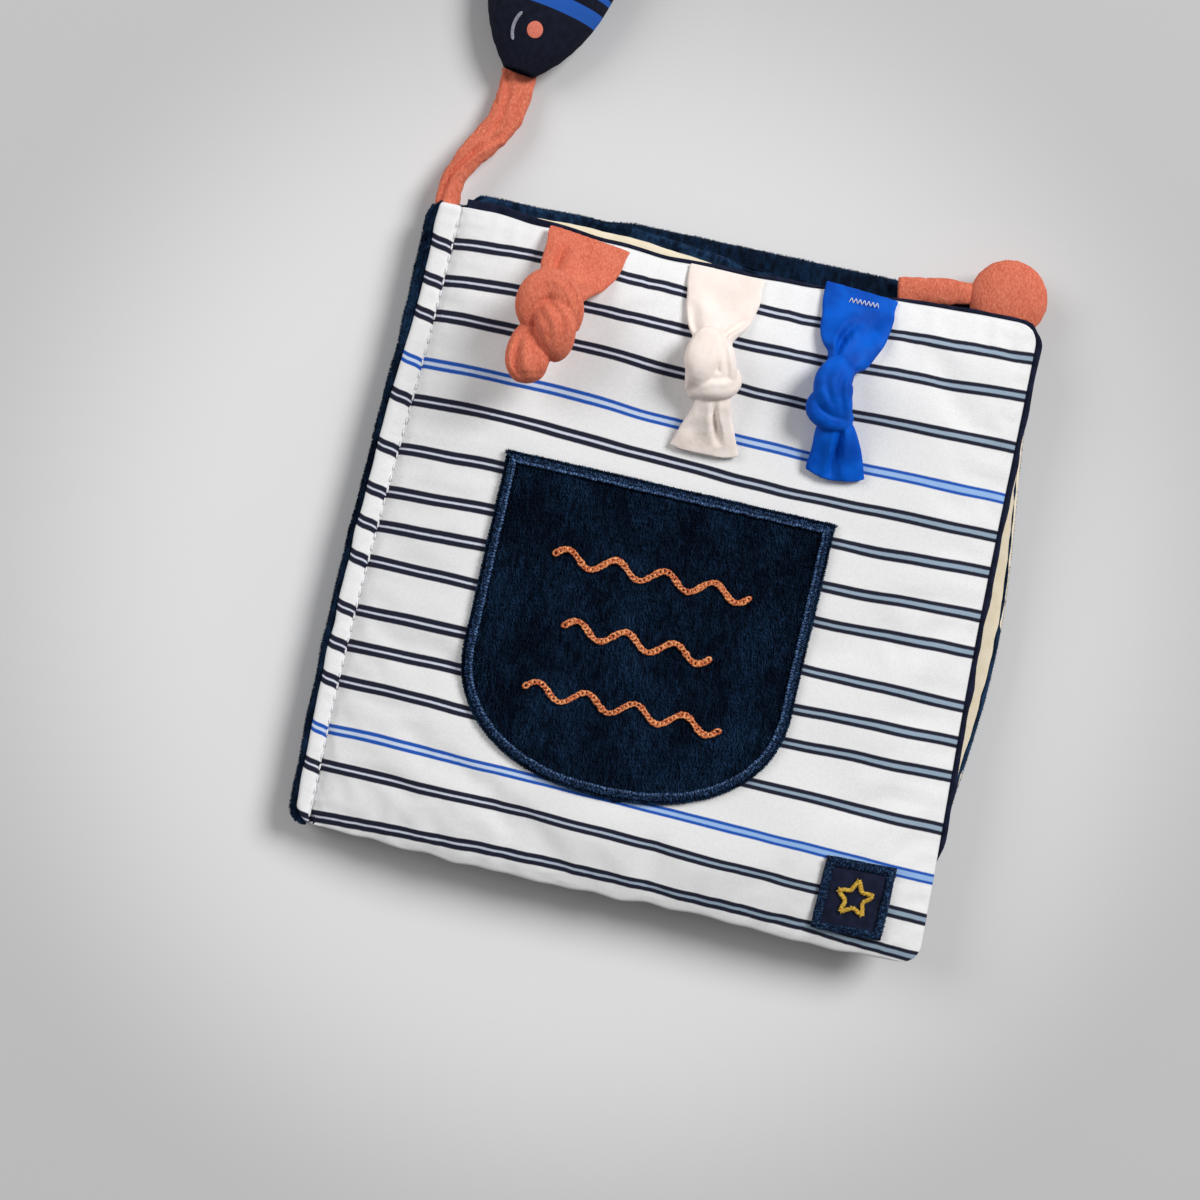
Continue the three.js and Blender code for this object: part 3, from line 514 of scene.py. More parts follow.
def makePlush(name, deep, light):  # short navy pile with brushed streaks; the light colour on the raised streaks is partly the cloth's own tone and partly painted sheen
    finish = Finish(name, 0.95, **{'Specular IOR Level': 0.1, 'Sheen Weight': 0.08, 'Sheen Roughness': 0.4,
                                   'Sheen Tint': srgb(110, 150, 210)})
    streaks = finish.place.scaled(1, 0.4, 1).cloud(620, 4, 0.65)
    patches = finish.place.scaled(1, 0.6, 1).cloud(70, 3)
    # Partly painted sheen: the lighter colour falls on the same streaks that the bump raises
    share = (streaks * 0.7 + patches * 0.55).fade(0.5, 0.85)
    finish.set('Base Color', share.between(deep, light))
    finish.bump(finish.place.cloud(1700, 3, 0.7) + streaks * 0.8, 0.45 * mm)
    return finish


def makeKnit(name, colour, tint, specular=0.12):  # thin smooth knit with fine ribs
    finish = Finish(name, 0.85, **{'Specular IOR Level': specular})
    uneven = weave(finish, 0.8, 0.06)[1]
    finish.set('Base Color', uneven.fade(0.3, 0.7).between(colour, tint))
    return finish


def makeMuslin():  # coral crinkled gauze: uneven threads and short slanting crinkles; the colour darkens in the crinkles' hollows as painted shade, over an uneven tone of its own
    finish = Finish('coralMuslin', 0.95, **{'Specular IOR Level': 0.1, 'Sheen Weight': 0.12, 'Sheen Roughness': 0.5,
                                            'Sheen Tint': srgb(255, 190, 160)})
    slant = finish.place.node('Mapping', None, {'Vector': finish.place, 'Rotation': (0, 0, 0.75),
                                                'Scale': (1, 0.5, 1)})
    crinkle = slant.cloud(1900, 3, 0.6)
    threads = (finish.flat.part(0) * 11000).wave() * (finish.flat.part(1) * 11000).wave()
    cloudy = finish.place.cloud(150, 3)
    # Painted shade: the crinkle noise that lowers the bump also darkens the colour, with a random cloudy tone mixed
    # in
    crinkleShade = crinkle * 0.8 + cloudy * 0.2 + threads * 0.05
    finish.set('Base Color', crinkleShade.fade(0.32, 0.72).between(srgb(204, 100, 76), srgb(236, 138, 110)))
    finish.bump(crinkle + threads * 0.1 + cloudy * 0.6, 0.34 * mm)
    return finish


def makeRibbonCloth(name, deep, light, roughness, specular):  # smooth satin-faced cotton
    finish = Finish(name, roughness, **{'Specular IOR Level': specular})
    threads, uneven = weave(finish, 0.5, 0.045)
    soft = finish.place.cloud(140, 2)
    finish.set('Base Color', (soft + threads * 0.06).fade(0.3, 0.7).between(deep, light))
    finish.bump(finish.place.cloud(200, 2, 0.5) + uneven * 0.06 + threads * 0.02, 0.5 * mm)
    return finish


def makeThread(name, deep, light, roughness=0.55, specular=0.3, rare=0.36):  # its painted glints, the light colour, are rarer as rare nears 0.66
    finish = Finish(name, roughness, **{'Specular IOR Level': specular})
    glintSpots = finish.place.cloud(1700, 3, 0.6)
    # Painted glints: the light colour stands in for highlights on the thread
    finish.set('Base Color', glintSpots.fade(rare, 0.66).between(deep, light))
    finish.bump(finish.place.scaled(1, 1, 0.4).cloud(5200, 2), 0.12 * mm)
    return finish


stripedCotton = makeStripedCotton()
plush = makePlush('navyPlush', srgb(3, 12, 27), srgb(16, 42, 70))
# A lighter copy of the navy plush: painted light for the page's plush ridge, the spine roll and the pile hairs, which
# stand higher and catch the lamp
litPile = makePlush('litNavyPile', srgb(6, 20, 40), srgb(40, 72, 108))
navyKnit = makeKnit('navyKnit', srgb(20, 24, 42), srgb(30, 35, 58))
creamCotton = makeKnit('creamCotton', srgb(238, 224, 196), srgb(244, 231, 206), 0.25)
coralMuslin = makeMuslin()
creamSatin = makeRibbonCloth('creamSatin', srgb(241, 227, 219), srgb(248, 238, 231), 0.7, 0.15)
blueSatin = makeRibbonCloth('blueSatin', srgb(0, 70, 172), srgb(2, 92, 206), 0.6, 0.1)
whiteThread = makeThread('whiteThread', srgb(226, 226, 230), srgb(246, 246, 248))
navyThread = makeThread('navyThread', srgb(8, 22, 42), srgb(58, 88, 130), 0.6, 0.08, 0.45)
# A lighter copy of the navy thread: painted highlight on the raised inner ridge of the patch's satin edge
litNavyThread = makeThread('litNavyThread', srgb(20, 38, 68), srgb(98, 130, 176), 0.5, 0.15, 0.42)
copperThread = makeThread('copperThread', srgb(176, 68, 26), srgb(255, 176, 116), 0.38, 0.45, 0.36)
yellowThread = makeThread('yellowThread', srgb(190, 146, 36), srgb(244, 210, 96), 0.4)
greyPrint = makeThread('greyPrint', srgb(136, 138, 152), srgb(160, 162, 174), 0.8)
wadding = Finish('whiteWadding', 0.95)
tufts = wadding.place.cloud(400, 4).fade(0.3, 0.7)
wadding.set('Base Color', tufts.between(srgb(228, 228, 226), srgb(246, 246, 244)))
wadding.bump(wadding.place.cloud(900, 4), 0.5 * mm)
print('materials ready')

# Floor and lamps: pale table, darker towards its edges as painted shade, one large soft lamp at the head side on the
# right
floor = {'half': 3.0, 'middle': (-0.0185, -0.0099, 0), 'colour': srgb(228, 228, 229), 'edge': srgb(196, 196, 197)}


def makeFloor():
    finish = Finish('paleTable', 0.7)
    reach = finish.place.node('VectorMath', {'operation': 'DISTANCE'}, {0: finish.place, 1: floor['middle']}, out=1)
    # Painted shade: the table darkens with distance from the book, standing in for the light's falloff
    finish.set('Base Color', reach.fade(0.11, 0.21).between(floor['colour'], floor['edge']))
    mesh = bmesh.new()
    bmesh.ops.create_grid(mesh, x_segments=4, y_segments=4, size=floor['half'])
    bmesh.ops.translate(mesh, verts=mesh.verts, vec=(0, 0, -0.0004))
    table = finishPiece(mesh, 'table', None, finish)


def makeLamp(name, place, size, power):  # a round lamp that looks at the book
    data = bpy.data.lights.new(name, 'AREA')
    data.shape, data.size, data.energy = 'DISK', size, power
    lamp = bpy.data.objects.new(name, data)
    bpy.context.scene.collection.objects.link(lamp)
    turn = Vector(place).to_track_quat('Z', 'Y').to_matrix().to_4x4()
    lamp.matrix_world = Matrix.Translation(place) @ turn


def makeWorld(strength):
    world = bpy.data.worlds.new('softRoom')
    world.use_nodes = True
    background = world.node_tree.nodes['Background']
    background.inputs['Color'].default_value = (1, 1, 1, 1)
    background.inputs['Strength'].default_value = strength
    bpy.context.scene.world = world


makeFloor()
makeLamp('window', (2.1, 1.95, 2.75), 1.75, 134)
makeLamp('fill', (-1.6, 0.6, 1.35), 1.4, 17)
makeWorld(0.18)
bpy.context.scene.view_settings.view_transform = 'Standard'
print('floor and lamps ready')

# Front cover: striped panel, wadding and knit lining
cover = {'columns': 110, 'rows': 112, 'cloth': 0.8, 'liningCells': 90, 'liningCloth': 0.6, 'spineInset': -1.1,
         'pressure': 2.2, 'slack': 0.007, 'mostMove': 1.6, 'held': 2.5, 'bendZ': 11.5}


def leafSide(leaf, isTop, columns, rows, headLip=0.0, freeLip=0.0, spineInset=0.3, lipRise=0.0):
    # One face of a leaf as a fine grid, with its gathers; its UV map is the cloth laid flat
    # A lip stands out past the leaf's edge and turns up, as a folded edge does
    inPlan = placeIn(leaf, 0, seamSideInset=spineInset - 0.3)
    flatPlace = {}

    def place(u, v):
        x, y = inPlan(eased(u), eased(v))
        low, high = leafHeights(leaf, x, y)
        gather = pucker(leaf, x, y)
        z = high + gather - (seamTuck(x, y) if leaf == 'front' else 0) if isTop else low - 0.5 * gather
        flatPlace[round(u * columns), round(v * rows)] = printPlace(x, y, z)
        free, head = smooth((eased(u) - 0.99) / 0.01), smooth((eased(v) - 0.99) / 0.01)
        x += freeLip * free * (1 + 0.35 * ripple(0, y, 9, 15)) * smooth((y + 66) / 9)
        broad = 1.1 * smooth((-38 - x) / 30) if leaf == 'front' else 0
        drawn = 1 - bell((x - 17) / 38) if leaf == 'front' else 1
        y += headLip * head * (1 + 0.35 * ripple(x, 0, 9, 16) + broad) * mix(0.4, 1, drawn)
        rise = lipRise * max(free * smooth((y + 66) / 9), head * drawn) * smooth((x - seamX(y) - 3) / 8)
        return x, y, z + rise * (1 + 0.3 * ripple(x, y, 6, 17))
    mesh = gridMesh(columns, rows, place)
    layer = mesh.loops.layers.uv.active
    for loop in loopsOf(mesh):
        u, v = loop[layer].uv / mm
        across, down = flatPlace[round(u * columns), round(v * rows)]
        loop[layer].uv = (across * mm, down * mm)
    if not isTop:
        bmesh.ops.reverse_faces(mesh, faces=mesh.faces)
    return mesh


def relax(mesh, pressure, slack, cap, pinned):
    # Lets the filling push the cloth out: a short cloth simulation, held where pinned, with each point's move capped
    scene = bpy.context.scene
    data = bpy.data.meshes.new('relaxed')
    mesh.to_mesh(data)
    cloth = bpy.data.objects.new('relaxed', data)
    scene.collection.objects.link(cloth)
    held = cloth.vertex_groups.new(name='held')
    for vert in data.vertices:
        share = pinned(vert.co.x / mm, vert.co.y / mm)
        if share > 0:
            held.add([vert.index], share, 'REPLACE')
    force = cloth.modifiers.new('push', 'CLOTH')
    settings = force.settings
    settings.quality, settings.mass, settings.air_damping = 5, 0.15, 8
    settings.tension_stiffness = settings.compression_stiffness = 22
    settings.shear_stiffness, settings.bending_stiffness = 6, 0.35
    settings.use_pressure, settings.uniform_pressure_force = True, pressure
    settings.shrink_min = -slack
    settings.vertex_group_mass = 'held'
    settings.effector_weights.gravity = 0
    force.collision_settings.use_collision = force.collision_settings.use_self_collision = False
    for step in range(1, 21):
        scene.frame_set(step)
    settled = cloth.evaluated_get(bpy.context.evaluated_depsgraph_get()).to_mesh()
    mesh.verts.ensure_lookup_table()
    for vert in settled.vertices:
        move = vert.co - mesh.verts[vert.index].co
        move.x, move.y = clamp(move.x, -0.6 * mm, 0.6 * mm), clamp(move.y, -0.6 * mm, 0.6 * mm)
        move.z = clamp(move.z, -cap * mm, cap * mm)
        mesh.verts[vert.index].co += move
    cloth.to_mesh_clear()
    bpy.data.objects.remove(cloth)
    bpy.data.meshes.remove(data)
    scene.frame_set(1)
    return mesh


def heldEdge(leaf, reach):  # 1 at a leaf's edges, 0 further in than the reach
    plan = edges[leaf]

    def held(x, y):
        near = min(x - plan['spine'](y), plan['free'](y) - x, plan['head'](x) - y, y - plan['foot'](x))
        return 1 - smooth(near / reach)
    return held


def addCloth(piece, thickness):  # the cloth's own thickness, behind its outer face
    solid = piece.modifiers.new('cloth', 'SOLIDIFY')
    solid.thickness, solid.offset, solid.use_rim = thickness * mm, -1, True


def softPiece(mesh, name, body, finish, node, thickness):  # a cloth with its thickness, over a filling
    piece = finishPiece(mesh, name, body, finish, [node])
    addCloth(piece, thickness)


def makeFrontCover():
    side = leafSide('front', True, cover['columns'], cover['rows'], spineInset=cover['spineInset'])
    top = relax(side, cover['pressure'], cover['slack'], cover['mostMove'], heldEdge('front', cover['held']))
    relaxedTop.append(BVHTree.FromBMesh(top))
    panel = finishPiece(top, 'striped_panel', None, stripedCotton, ['front_cover_panel'])
    seam, bendZ = seamX(90) * mm, cover['bendZ'] * mm
    seam - 0.003
    seam + 0.0025
    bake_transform(panel)
    addCloth(panel, cover['cloth'])
    side = leafSide('front', False, cover['liningCells'], cover['liningCells'], 1.2, 1.9, 1.8, 1.0)
    softPiece(side, 'knit_lining', 'front_cover', navyKnit, 'front_cover_lining',
              cover['liningCloth'])


makeFrontCover()
print('front cover ready')


def makeWadding(leaf, body, node, inset, seamSideInset, low, high):
    # The stuffing: a closed pillow inside the leaf's two cloths
    inPlan = placeIn(leaf, inset, 26, True, seamSideInset)

    def face(isTop):
        def place(u, v):
            x, y = inPlan(u, v)
            bed, top = leafHeights(leaf, x, y)
            return x, y, top - high if isTop else bed + low
        return gridMesh(30, 30, place)
    mesh = joined([face(True), face(False)])
    rims = [edge for edge in mesh.edges if edge.is_boundary]
    bmesh.ops.bridge_loops(mesh, edges=rims)
    bmesh.ops.recalc_face_normals(mesh, faces=mesh.faces)
    piece = finishPiece(mesh, leaf + '_filling', body, wadding, [node])


makeWadding('front', 'front_cover', 'front_cover_wadding', 7, 13, 2.2, 2.4)
makeWadding('page', 'page', 'page_wadding', 7, 13, 2.6, 2.2)
makeWadding('back', 'binding', 'back_cover_wadding', 7, 20, 2.6, 2.6)


# Short pile: small leaning hairs on a surface
def makePile(name, body, spots, length, width, seed, combed=(0.35, -0.5)):
    draw = random.Random(seed)
    form = bmesh.new()
    stand = Matrix.Rotation(math.pi / 2, 4, 'Y') @ Matrix.Translation((0, 0, 0.5))
    bmesh.ops.create_cone(form, cap_ends=True, segments=3, radius1=1, radius2=0.25, depth=1, matrix=stand)
    places = []
    for (x, y, z), normal in spots:
        lean = Vector((combed[0] + 0.8 * ripple(x, y, 7, 11) + draw.uniform(-0.45, 0.45),
                       combed[1] + 0.8 * ripple(x, y, 7, 12) + draw.uniform(-0.45, 0.45), 0))
        heading = (Vector(normal) + lean * 0.8).normalized()
        tall = length * draw.uniform(0.75, 1.2) * mm
        thick = width * mm
        places.append(frameAt((x, y, z), heading, Vector((draw.uniform(-1, 1), draw.uniform(-1, 1), 0.5)),
                              (tall, thick, thick)))
    return finishPiece(manyOf(form, places), name, body, litPile)


def leafSpots(leaf, isTop, count, seed, inside):
    # Random places just under one face of a leaf, with the way that the face looks
    draw = random.Random(seed)
    inPlan, side = placeIn(leaf), 1 if isTop else -1
    spots = []
    while len(spots) < count:
        x, y = inPlan(draw.random(), draw.random())
        if not inside(x, y):
            continue
        height = lambda px, py: leafHeights(leaf, px, py)[1 if isTop else 0]
        here, step = height(x, y), 0.5
        slopeX, slopeY = (height(x + step, y) - here) / step, (height(x, y + step) - here) / step
        normal = Vector((-slopeX, -slopeY, 1)).normalized() * side
        spots.append(((x, y, here - 0.3 * side), normal))
    return spots


def rimSpots(leaf, count, seed, lip, low, high, sides='head foot spine free'):
    # Random places round a leaf's edge, looking outwards
    draw = random.Random(seed)
    inPlan = placeIn(leaf, -lip)
    walks = {'head': (lambda t: (t, 1), (0, 1)), 'foot': (lambda t: (t, 0), (0, -1)),
             'spine': (lambda t: (0, t), (-1, 0)), 'free': (lambda t: (1, t), (1, 0))}
    spots = []
    for index in range(count):
        walk, (outX, outY) = walks[sides.split()[index % len(sides.split())]]
        x, y = inPlan(*walk(draw.random()))
        bed, top = leafHeights(leaf, x, y)
        share = draw.random()
        z = mix(bed + low, top - high, share)
        outwards = Vector((outX, outY, 1.6 * (share - 0.4))).normalized()
        spots.append(((x - outX * 0.5, y - outY * 0.5, z), outwards))
    return spots


plushCloth = 1.4


def makePage():
    softPiece(leafSide('page', True, 60, 60), 'cream_page', 'page', creamCotton, 'page_front_sheet',
              0.8)
    # The page's plush takes the lighter copy, as painted light on its raised ridge
    softPiece(leafSide('page', False, 80, 80, 2.6, 0.1, lipRise=1.6), 'page_plush', 'page', litPile,
              'page_back_plush', plushCloth)
    spots = leafSpots('page', False, 12000, 21, lambda x, y: x > seamX(y) + 2)
    spots += rimSpots('page', 5000, 22, 2.6, 0.4, -0.4, 'head')
    spots += rimSpots('page', 4000, 24, 0.0, 0.2, 0.3, 'free foot')
    makePile('page_pile', 'page', spots, 0.9, 0.13, 23)


def makeBackCover():
    # The back cover keeps the darker navy plush, as painted shade beside the page's lighter copy
    for name, isTop, node in (('back_plush', False, 'back_cover_plush'), ('back_lining', True, 'back_cover_lining')):
        softPiece(leafSide('back', isTop, 60, 60), name, 'binding', plush, node, plushCloth)
    spots = leafSpots('back', True, 22000, 31, lambda x, y: True) + rimSpots('back', 14000, 32, 0.2, 0.6, 0.4)
    makePile('back_pile', 'binding', spots, 0.9, 0.13, 33)


makePage()
makeBackCover()
print('page and back cover ready')

# Spine margin: rolled edges of the front cover and the page, the plush roll beside them, and white running stitches
margin = {'low': 9.35, 'high': 12.3, 'kink': 0.3, 'stitchPitch': 3.4, 'stitchHalf': 1.1, 'stitchThick': 0.3}


def rolledEdge(name, left, right, low, high, footY, headY, finish, nodes, gather=0.25, endRound=1.2):
    def place(u, v):
        y = mix(footY, headY, v)
        angle = math.tau * u
        along, up = math.cos(angle), math.sin(angle)
        across = signed(along, 0.6)
        rounded = signed(up, 0.7)
        end = math.sqrt(1 - clamp(1 - min(v, 1 - v) * (headY - footY) / endRound) ** 2)
        middle, half = (left(y) + right(y)) / 2, (right(y) - left(y)) / 2
        pinch = gather * (ripple(0, y, 2.3, 41) + 0.6 * ripple(across, y, 5, 42)) * smooth(along + 0.6)
        lift = (high - low) / 2 * (1 - 0.28 * smooth(-along * 0.5 + 0.1) * (up > 0)) + (pinch if up > 0 else 0)
        return middle + half * across * mix(0.88, 1, end), y, (low + high) / 2 + lift * rounded * mix(0.5, 1, end)

    def flat(u, v):
        y = mix(footY, headY, v)
        across = (right(y) - left(y)) * (1 - math.cos(math.tau * u)) / 2
        return -across, halfHeight - y + margin['kink'] * across
    return finishPiece(gridMesh(28, 220, place, flat, True), name, 'binding', finish, nodes)


def rollLeft(y):
    return spineX(y) - 0.3 + 4.2 * clamp((abs(y - 1) - halfHeight + 5) / 5.2) ** 2 + 0.4 * ripple(0, y, 11, 45)


def rollRight(y):
    return mix(marginX(y) + 0.6, seamX(y) - 0.4, smooth((-y - halfHeight + 8) / 4))


def makeMargin():
    rolledEdge('striped_margin', lambda y: marginX(y) + 4 * clamp((-y - halfHeight + 7.5) / 5) ** 2,
               lambda y: seamX(y) + 0.45, margin['low'], margin['high'], -halfHeight + 2.6, halfHeight, stripedCotton,
               ['front_margin'])
    rolledEdge('page_margin_roll', lambda y: marginX(y) + 2.3, lambda y: seamX(y) + spineBow(y), 6.4, 8.9,
               -halfHeight + 5.5, halfHeight - 13.3, plush, ['page_margin'])
    # The spine roll takes the lighter plush, as painted light
    rolledEdge('spine_plush_roll', rollLeft, rollRight, 3.5, 10.7, -halfHeight + 1.3, halfHeight + 0.8, litPile,
               [], 0.3, 3)
    stitch = bmesh.new()
    bmesh.ops.create_uvsphere(stitch, u_segments=8, v_segments=6, radius=1)
    count = int((book['height'] - 6) / margin['stitchPitch'])
    draw = random.Random(5)
    places = []
    for index in range(count):
        y = (index - (count - 1) / 2) * margin['stitchPitch']
        heading = Vector((0.03 + draw.uniform(-0.08, 0.08), 1, draw.uniform(-0.05, 0.05)))
        places.append(frameAt((seamX(y) + 0.3, y, 12.0), heading, upwards,
                              (margin['stitchHalf'] * mm, margin['stitchThick'] * mm, margin['stitchThick'] * mm)))
    finishPiece(manyOf(stitch, places), 'running_stitch', 'binding', whiteThread,
                ['spine_stitching'])
    spots = []
    while len(spots) < 9000:
        y, turn = draw.uniform(-halfHeight + 2, halfHeight + 0.6), math.radians(draw.uniform(60, 190))
        middle, half = (rollLeft(y) + rollRight(y)) / 2, (rollRight(y) - rollLeft(y)) / 2
        outwards = Vector((math.cos(turn), 0, math.sin(turn)))
        spots.append(((middle + half * 0.95 * outwards.x, y, 7.2 + 3.5 * max(outwards.z, 0)), outwards))
    makePile('spine_pile', 'binding', spots, 0.7, 0.13, 43, (0, -0.6))


makeMargin()
print('margin ready')

# Patch: navy plush, satin-stitched edge and chain-stitched waves
patch = {'x': -6.6, 'headY': 25.8, 'half': 47.5, 'straight': 55, 'bowl': 35, 'power': 2.2, 'inset': 2.3,
         'hairs': 30000, 'strokePitch': 0.56, 'bandHalf': 1.2, 'fringe': 9000, 'waveLength': 14, 'waveHeight': 4.2,
         'waveGap': 19, 'waves': (4, 3, 4), 'turn': 0.018}


def patchHalfAt(y, inset):
    share = clamp((patch['headY'] - patch['straight'] - y) / (patch['bowl'] - inset))
    return (patch['half'] - inset) * (1 - share ** patch['power']) ** (1 / patch['power'])


def patchPlace(u, v, inset):  # v from the bowl's bottom to the head
    turnY, depth = patch['headY'] - patch['straight'], (patch['bowl'] - inset) * 0.9995
    y = turnY - depth * math.cos(math.pi * v) if v < 0.5 else mix(turnY, patch['headY'] - inset, 2 * v - 1)
    return patchTurned(patch['x'] + mix(-1, 1, u) * patchHalfAt(y, inset), y)


def patchTurned(x, y):  # the patch is sewn on a little askew
    across, along = x - patch['x'], y - patch['headY'] + patch['straight']
    return x + patch['turn'] * along, y - patch['turn'] * across


def patchTop(x, y):
    return frontTop(x, y) + 1.5


def waveY(row, x):
    middle = patch['headY'] - (patch['straight'] + patch['bowl']) / 2 + patch['waveGap'] * (1 - row)
    along = (x - patch['x']) / patch['waveLength'] + patch['waves'][row] / 2
    return middle + patch['waveHeight'] / 2 * math.sin(math.tau * along)


class Route:  # a smooth line through points, walked by its length
    def __init__(self, points, isLoop=False, steps=12):
        count = len(points)
        self.isLoop = isLoop
        self.points = []
        for index in range(count if isLoop else count - 1):
            picks = [index - 1, index, index + 1, index + 2]
            near = [Vector(points[pick % count if isLoop else int(clamp(pick, 0, count - 1))]) for pick in picks]
            for step in range(steps):
                t = step / steps
                self.points.append(0.5 * (2 * near[1] + (near[2] - near[0]) * t
                                          + (2 * near[0] - 5 * near[1] + 4 * near[2] - near[3]) * t ** 2
                                          + (3 * near[1] - near[0] - 3 * near[2] + near[3]) * t ** 3))
        self.points.append(Vector(points[0] if isLoop else points[-1]))
        self.marks = [0.0]
        for before, after in zip(self.points, self.points[1:]):
            self.marks.append(self.marks[-1] + Vector((after - before)[:3]).length)
        self.length = self.marks[-1]

    def at(self, share):
        goal = clamp(share) * self.length
        low, high = 0, len(self.marks) - 1
        while high - low > 1:
            middle = (low + high) // 2
            low, high = (middle, high) if self.marks[middle] <= goal else (low, middle)
        span = self.marks[high] - self.marks[low]
        return self.points[low].lerp(self.points[high], (goal - self.marks[low]) / span if span else 0)

    def heading(self, share, reach=0.004):
        return Vector((self.at(share + reach) - self.at(share - reach))[:3]).normalized()


def strokeForm():  # one stroke of thread, along x
    stroke = bmesh.new()
    bmesh.ops.create_uvsphere(stroke, u_segments=6, v_segments=5, radius=1,
                              matrix=Matrix.Rotation(math.pi / 2, 4, 'Y'))
    return stroke


def satinBand(name, body, route, half, surface, pitch, finish, nodes, seed):
    # Close strokes of thread lying across a route
    draw = random.Random(seed)
    stroke = strokeForm()
    count = int(route.length / pitch)
    places = []
    for index in range(count):
        share = (index + 0.5) / count
        point, heading = route.at(share), route.heading(share)
        across = Vector((-heading.y, heading.x, 0)) + heading * draw.uniform(0.02, 0.22)
        offset = draw.uniform(-0.12, 0.12)
        x, y = point.x + across.x * offset, point.y + across.y * offset
        tilt = (surface(x + across.x, y + across.y) - surface(x - across.x, y - across.y)) / 2
        across.z = tilt
        places.append(frameAt((x, y, surface(x, y) + 0.32 + draw.uniform(-0.05, 0.16)), across, upwards,
                              (half * draw.uniform(0.93, 1.06) * mm, pitch * 0.62 * mm, 0.5 * mm)))
    return finishPiece(manyOf(stroke, places), name, body, finish, nodes)


def chainStitch(name, body, route, surface, pitch, half, thick, finish, nodes, seed):
    # Interlocking loops of thread along a route
    draw = random.Random(seed)
    link = bmesh.new()
    bmesh.ops.create_circle(link, segments=4, radius=thick / half, matrix=Matrix.Translation((1, 0, 0))
                            @ Matrix.Rotation(math.pi / 2, 4, 'X'))
    bmesh.ops.spin(link, geom=link.verts[:] + link.edges[:], cent=(0, 0, 0), axis=(0, 0, 1), angle=math.tau,
                   steps=9, use_merge=True, use_duplicate=False)
    bmesh.ops.recalc_face_normals(link, faces=link.faces)
    count = max(2, int(route.length / pitch))
    places = []
    for index in range(count):
        share = (index + 0.5) / count
        point, heading = route.at(share), route.heading(share)
        ahead = point + heading * 0.5
        heading.z = (surface(ahead.x, ahead.y) - surface(point.x, point.y)) * 2 + draw.uniform(0.1, 0.24)
        heading += Vector((draw.uniform(-0.22, 0.22), draw.uniform(-0.22, 0.22), 0))
        sizes = (pitch * draw.uniform(0.62, 0.84) * mm, half * draw.uniform(0.8, 1.15) * mm, half * mm)
        places.append(frameAt((point.x, point.y, surface(point.x, point.y) + 0.35), heading, upwards, sizes))
    return finishPiece(manyOf(link, places), name, body, finish, nodes)


def patchOutline(inset):  # once round the patch, from the middle of its bowl; close points keep its corners square
    side = [index / 18 for index in range(1, 18)] + [0.992, 1]
    outline = [patchPlace(0.501, 0, inset)]
    outline += [patchPlace(1, v, inset) for v in side]
    outline += [patchPlace(u, 1, inset) for u in (0.995, 0.83, 0.67, 0.5, 0.33, 0.17, 0.005)]
    outline += [patchPlace(0, v, inset) for v in reversed(side)]
    return Route([(x, y, 0) for x, y in outline] + [(*patchPlace(0.499, 0, inset), 0)], True)


def makePatch():
    def place(u, v):
        x, y = patchPlace(u, v, 0.4)
        return x, y, patchTop(x, y) - 0.35
    cloth = finishPiece(gridMesh(60, 64, place), 'plush_patch', 'front_cover', plush, ['cover_patch'])
    addCloth(cloth, 1.0)
    draw = random.Random(51)
    spots = []
    while len(spots) < patch['hairs']:
        x = patch['x'] + draw.uniform(-1, 1) * patch['half']
        y = patch['headY'] - draw.random() * (patch['straight'] + patch['bowl'])
        nearWave = any(abs(y - waveY(row, x)) < 1.3 and abs(x - patch['x']) < patch['waveLength'] * count / 2 + 1
                       for row, count in enumerate(patch['waves']))
        if abs(x - patch['x']) < patchHalfAt(y, 3.5) and y < patch['headY'] - 3.5 and not nearWave \
                and y > patch['headY'] - patch['straight'] - patch['bowl'] + 3.5:
            x, y = patchTurned(x, y)
            spots.append(((x, y, patchTop(x, y) - 0.5), upwards))
    makePile('patch_pile', 'front_cover', spots, 1.5, 0.17, 52, (0.2, -0.75))
    route = patchOutline(patch['inset'])
    satinBand('patch_edging', 'front_cover', route, patch['bandHalf'], patchTop, patch['strokePitch'], navyThread,
              ['patch_border'], 53)
    # The inner line takes the lighter navy thread, as a painted highlight on the band's raised inner edge
    satinBand('patch_inner_line', 'front_cover', patchOutline(patch['inset'] + 0.8), 0.5,
              lambda x, y: patchTop(x, y) + 0.3, 0.8, litNavyThread, [], 58)
    fringe, outside = [], patchOutline(1.25)
    for _ in range(patch['fringe']):
        share = draw.random()
        point, heading = outside.at(share), outside.heading(share)
        outwards = Vector((heading.y, -heading.x, 0.5))
        fringe.append(((point.x, point.y, patchTop(point.x, point.y) - draw.uniform(0.3, 1.1)), outwards))
    makePile('patch_fringe', 'front_cover', fringe, 1.15, 0.15, 59, (0, -0.2))
    for row, count in enumerate(patch['waves']):
        levels = [patch['x'] + patch['waveLength'] * (step / 8 - count / 2) for step in range(8 * count + 1)]
        wave = [(*patchTurned(x, waveY(row, x)), 0) for x in levels]
        chainStitch('chain_wave_%d' % (row + 1), 'front_cover', Route(wave), lambda x, y: patchTop(x, y) + 0.5, 1.25,
                    0.66, 0.3, copperThread, ['patch_wave_%d' % (row + 1)], 54 + row)


makePatch()
print('patch ready')

# Label: square of navy cotton with a satin-stitched frame and a satin-stitched star
label = {'x': 68.9, 'y': -77.6, 'halfWide': 10.2, 'halfTall': 10.7, 'band': 2.8, 'radius': 5.4}


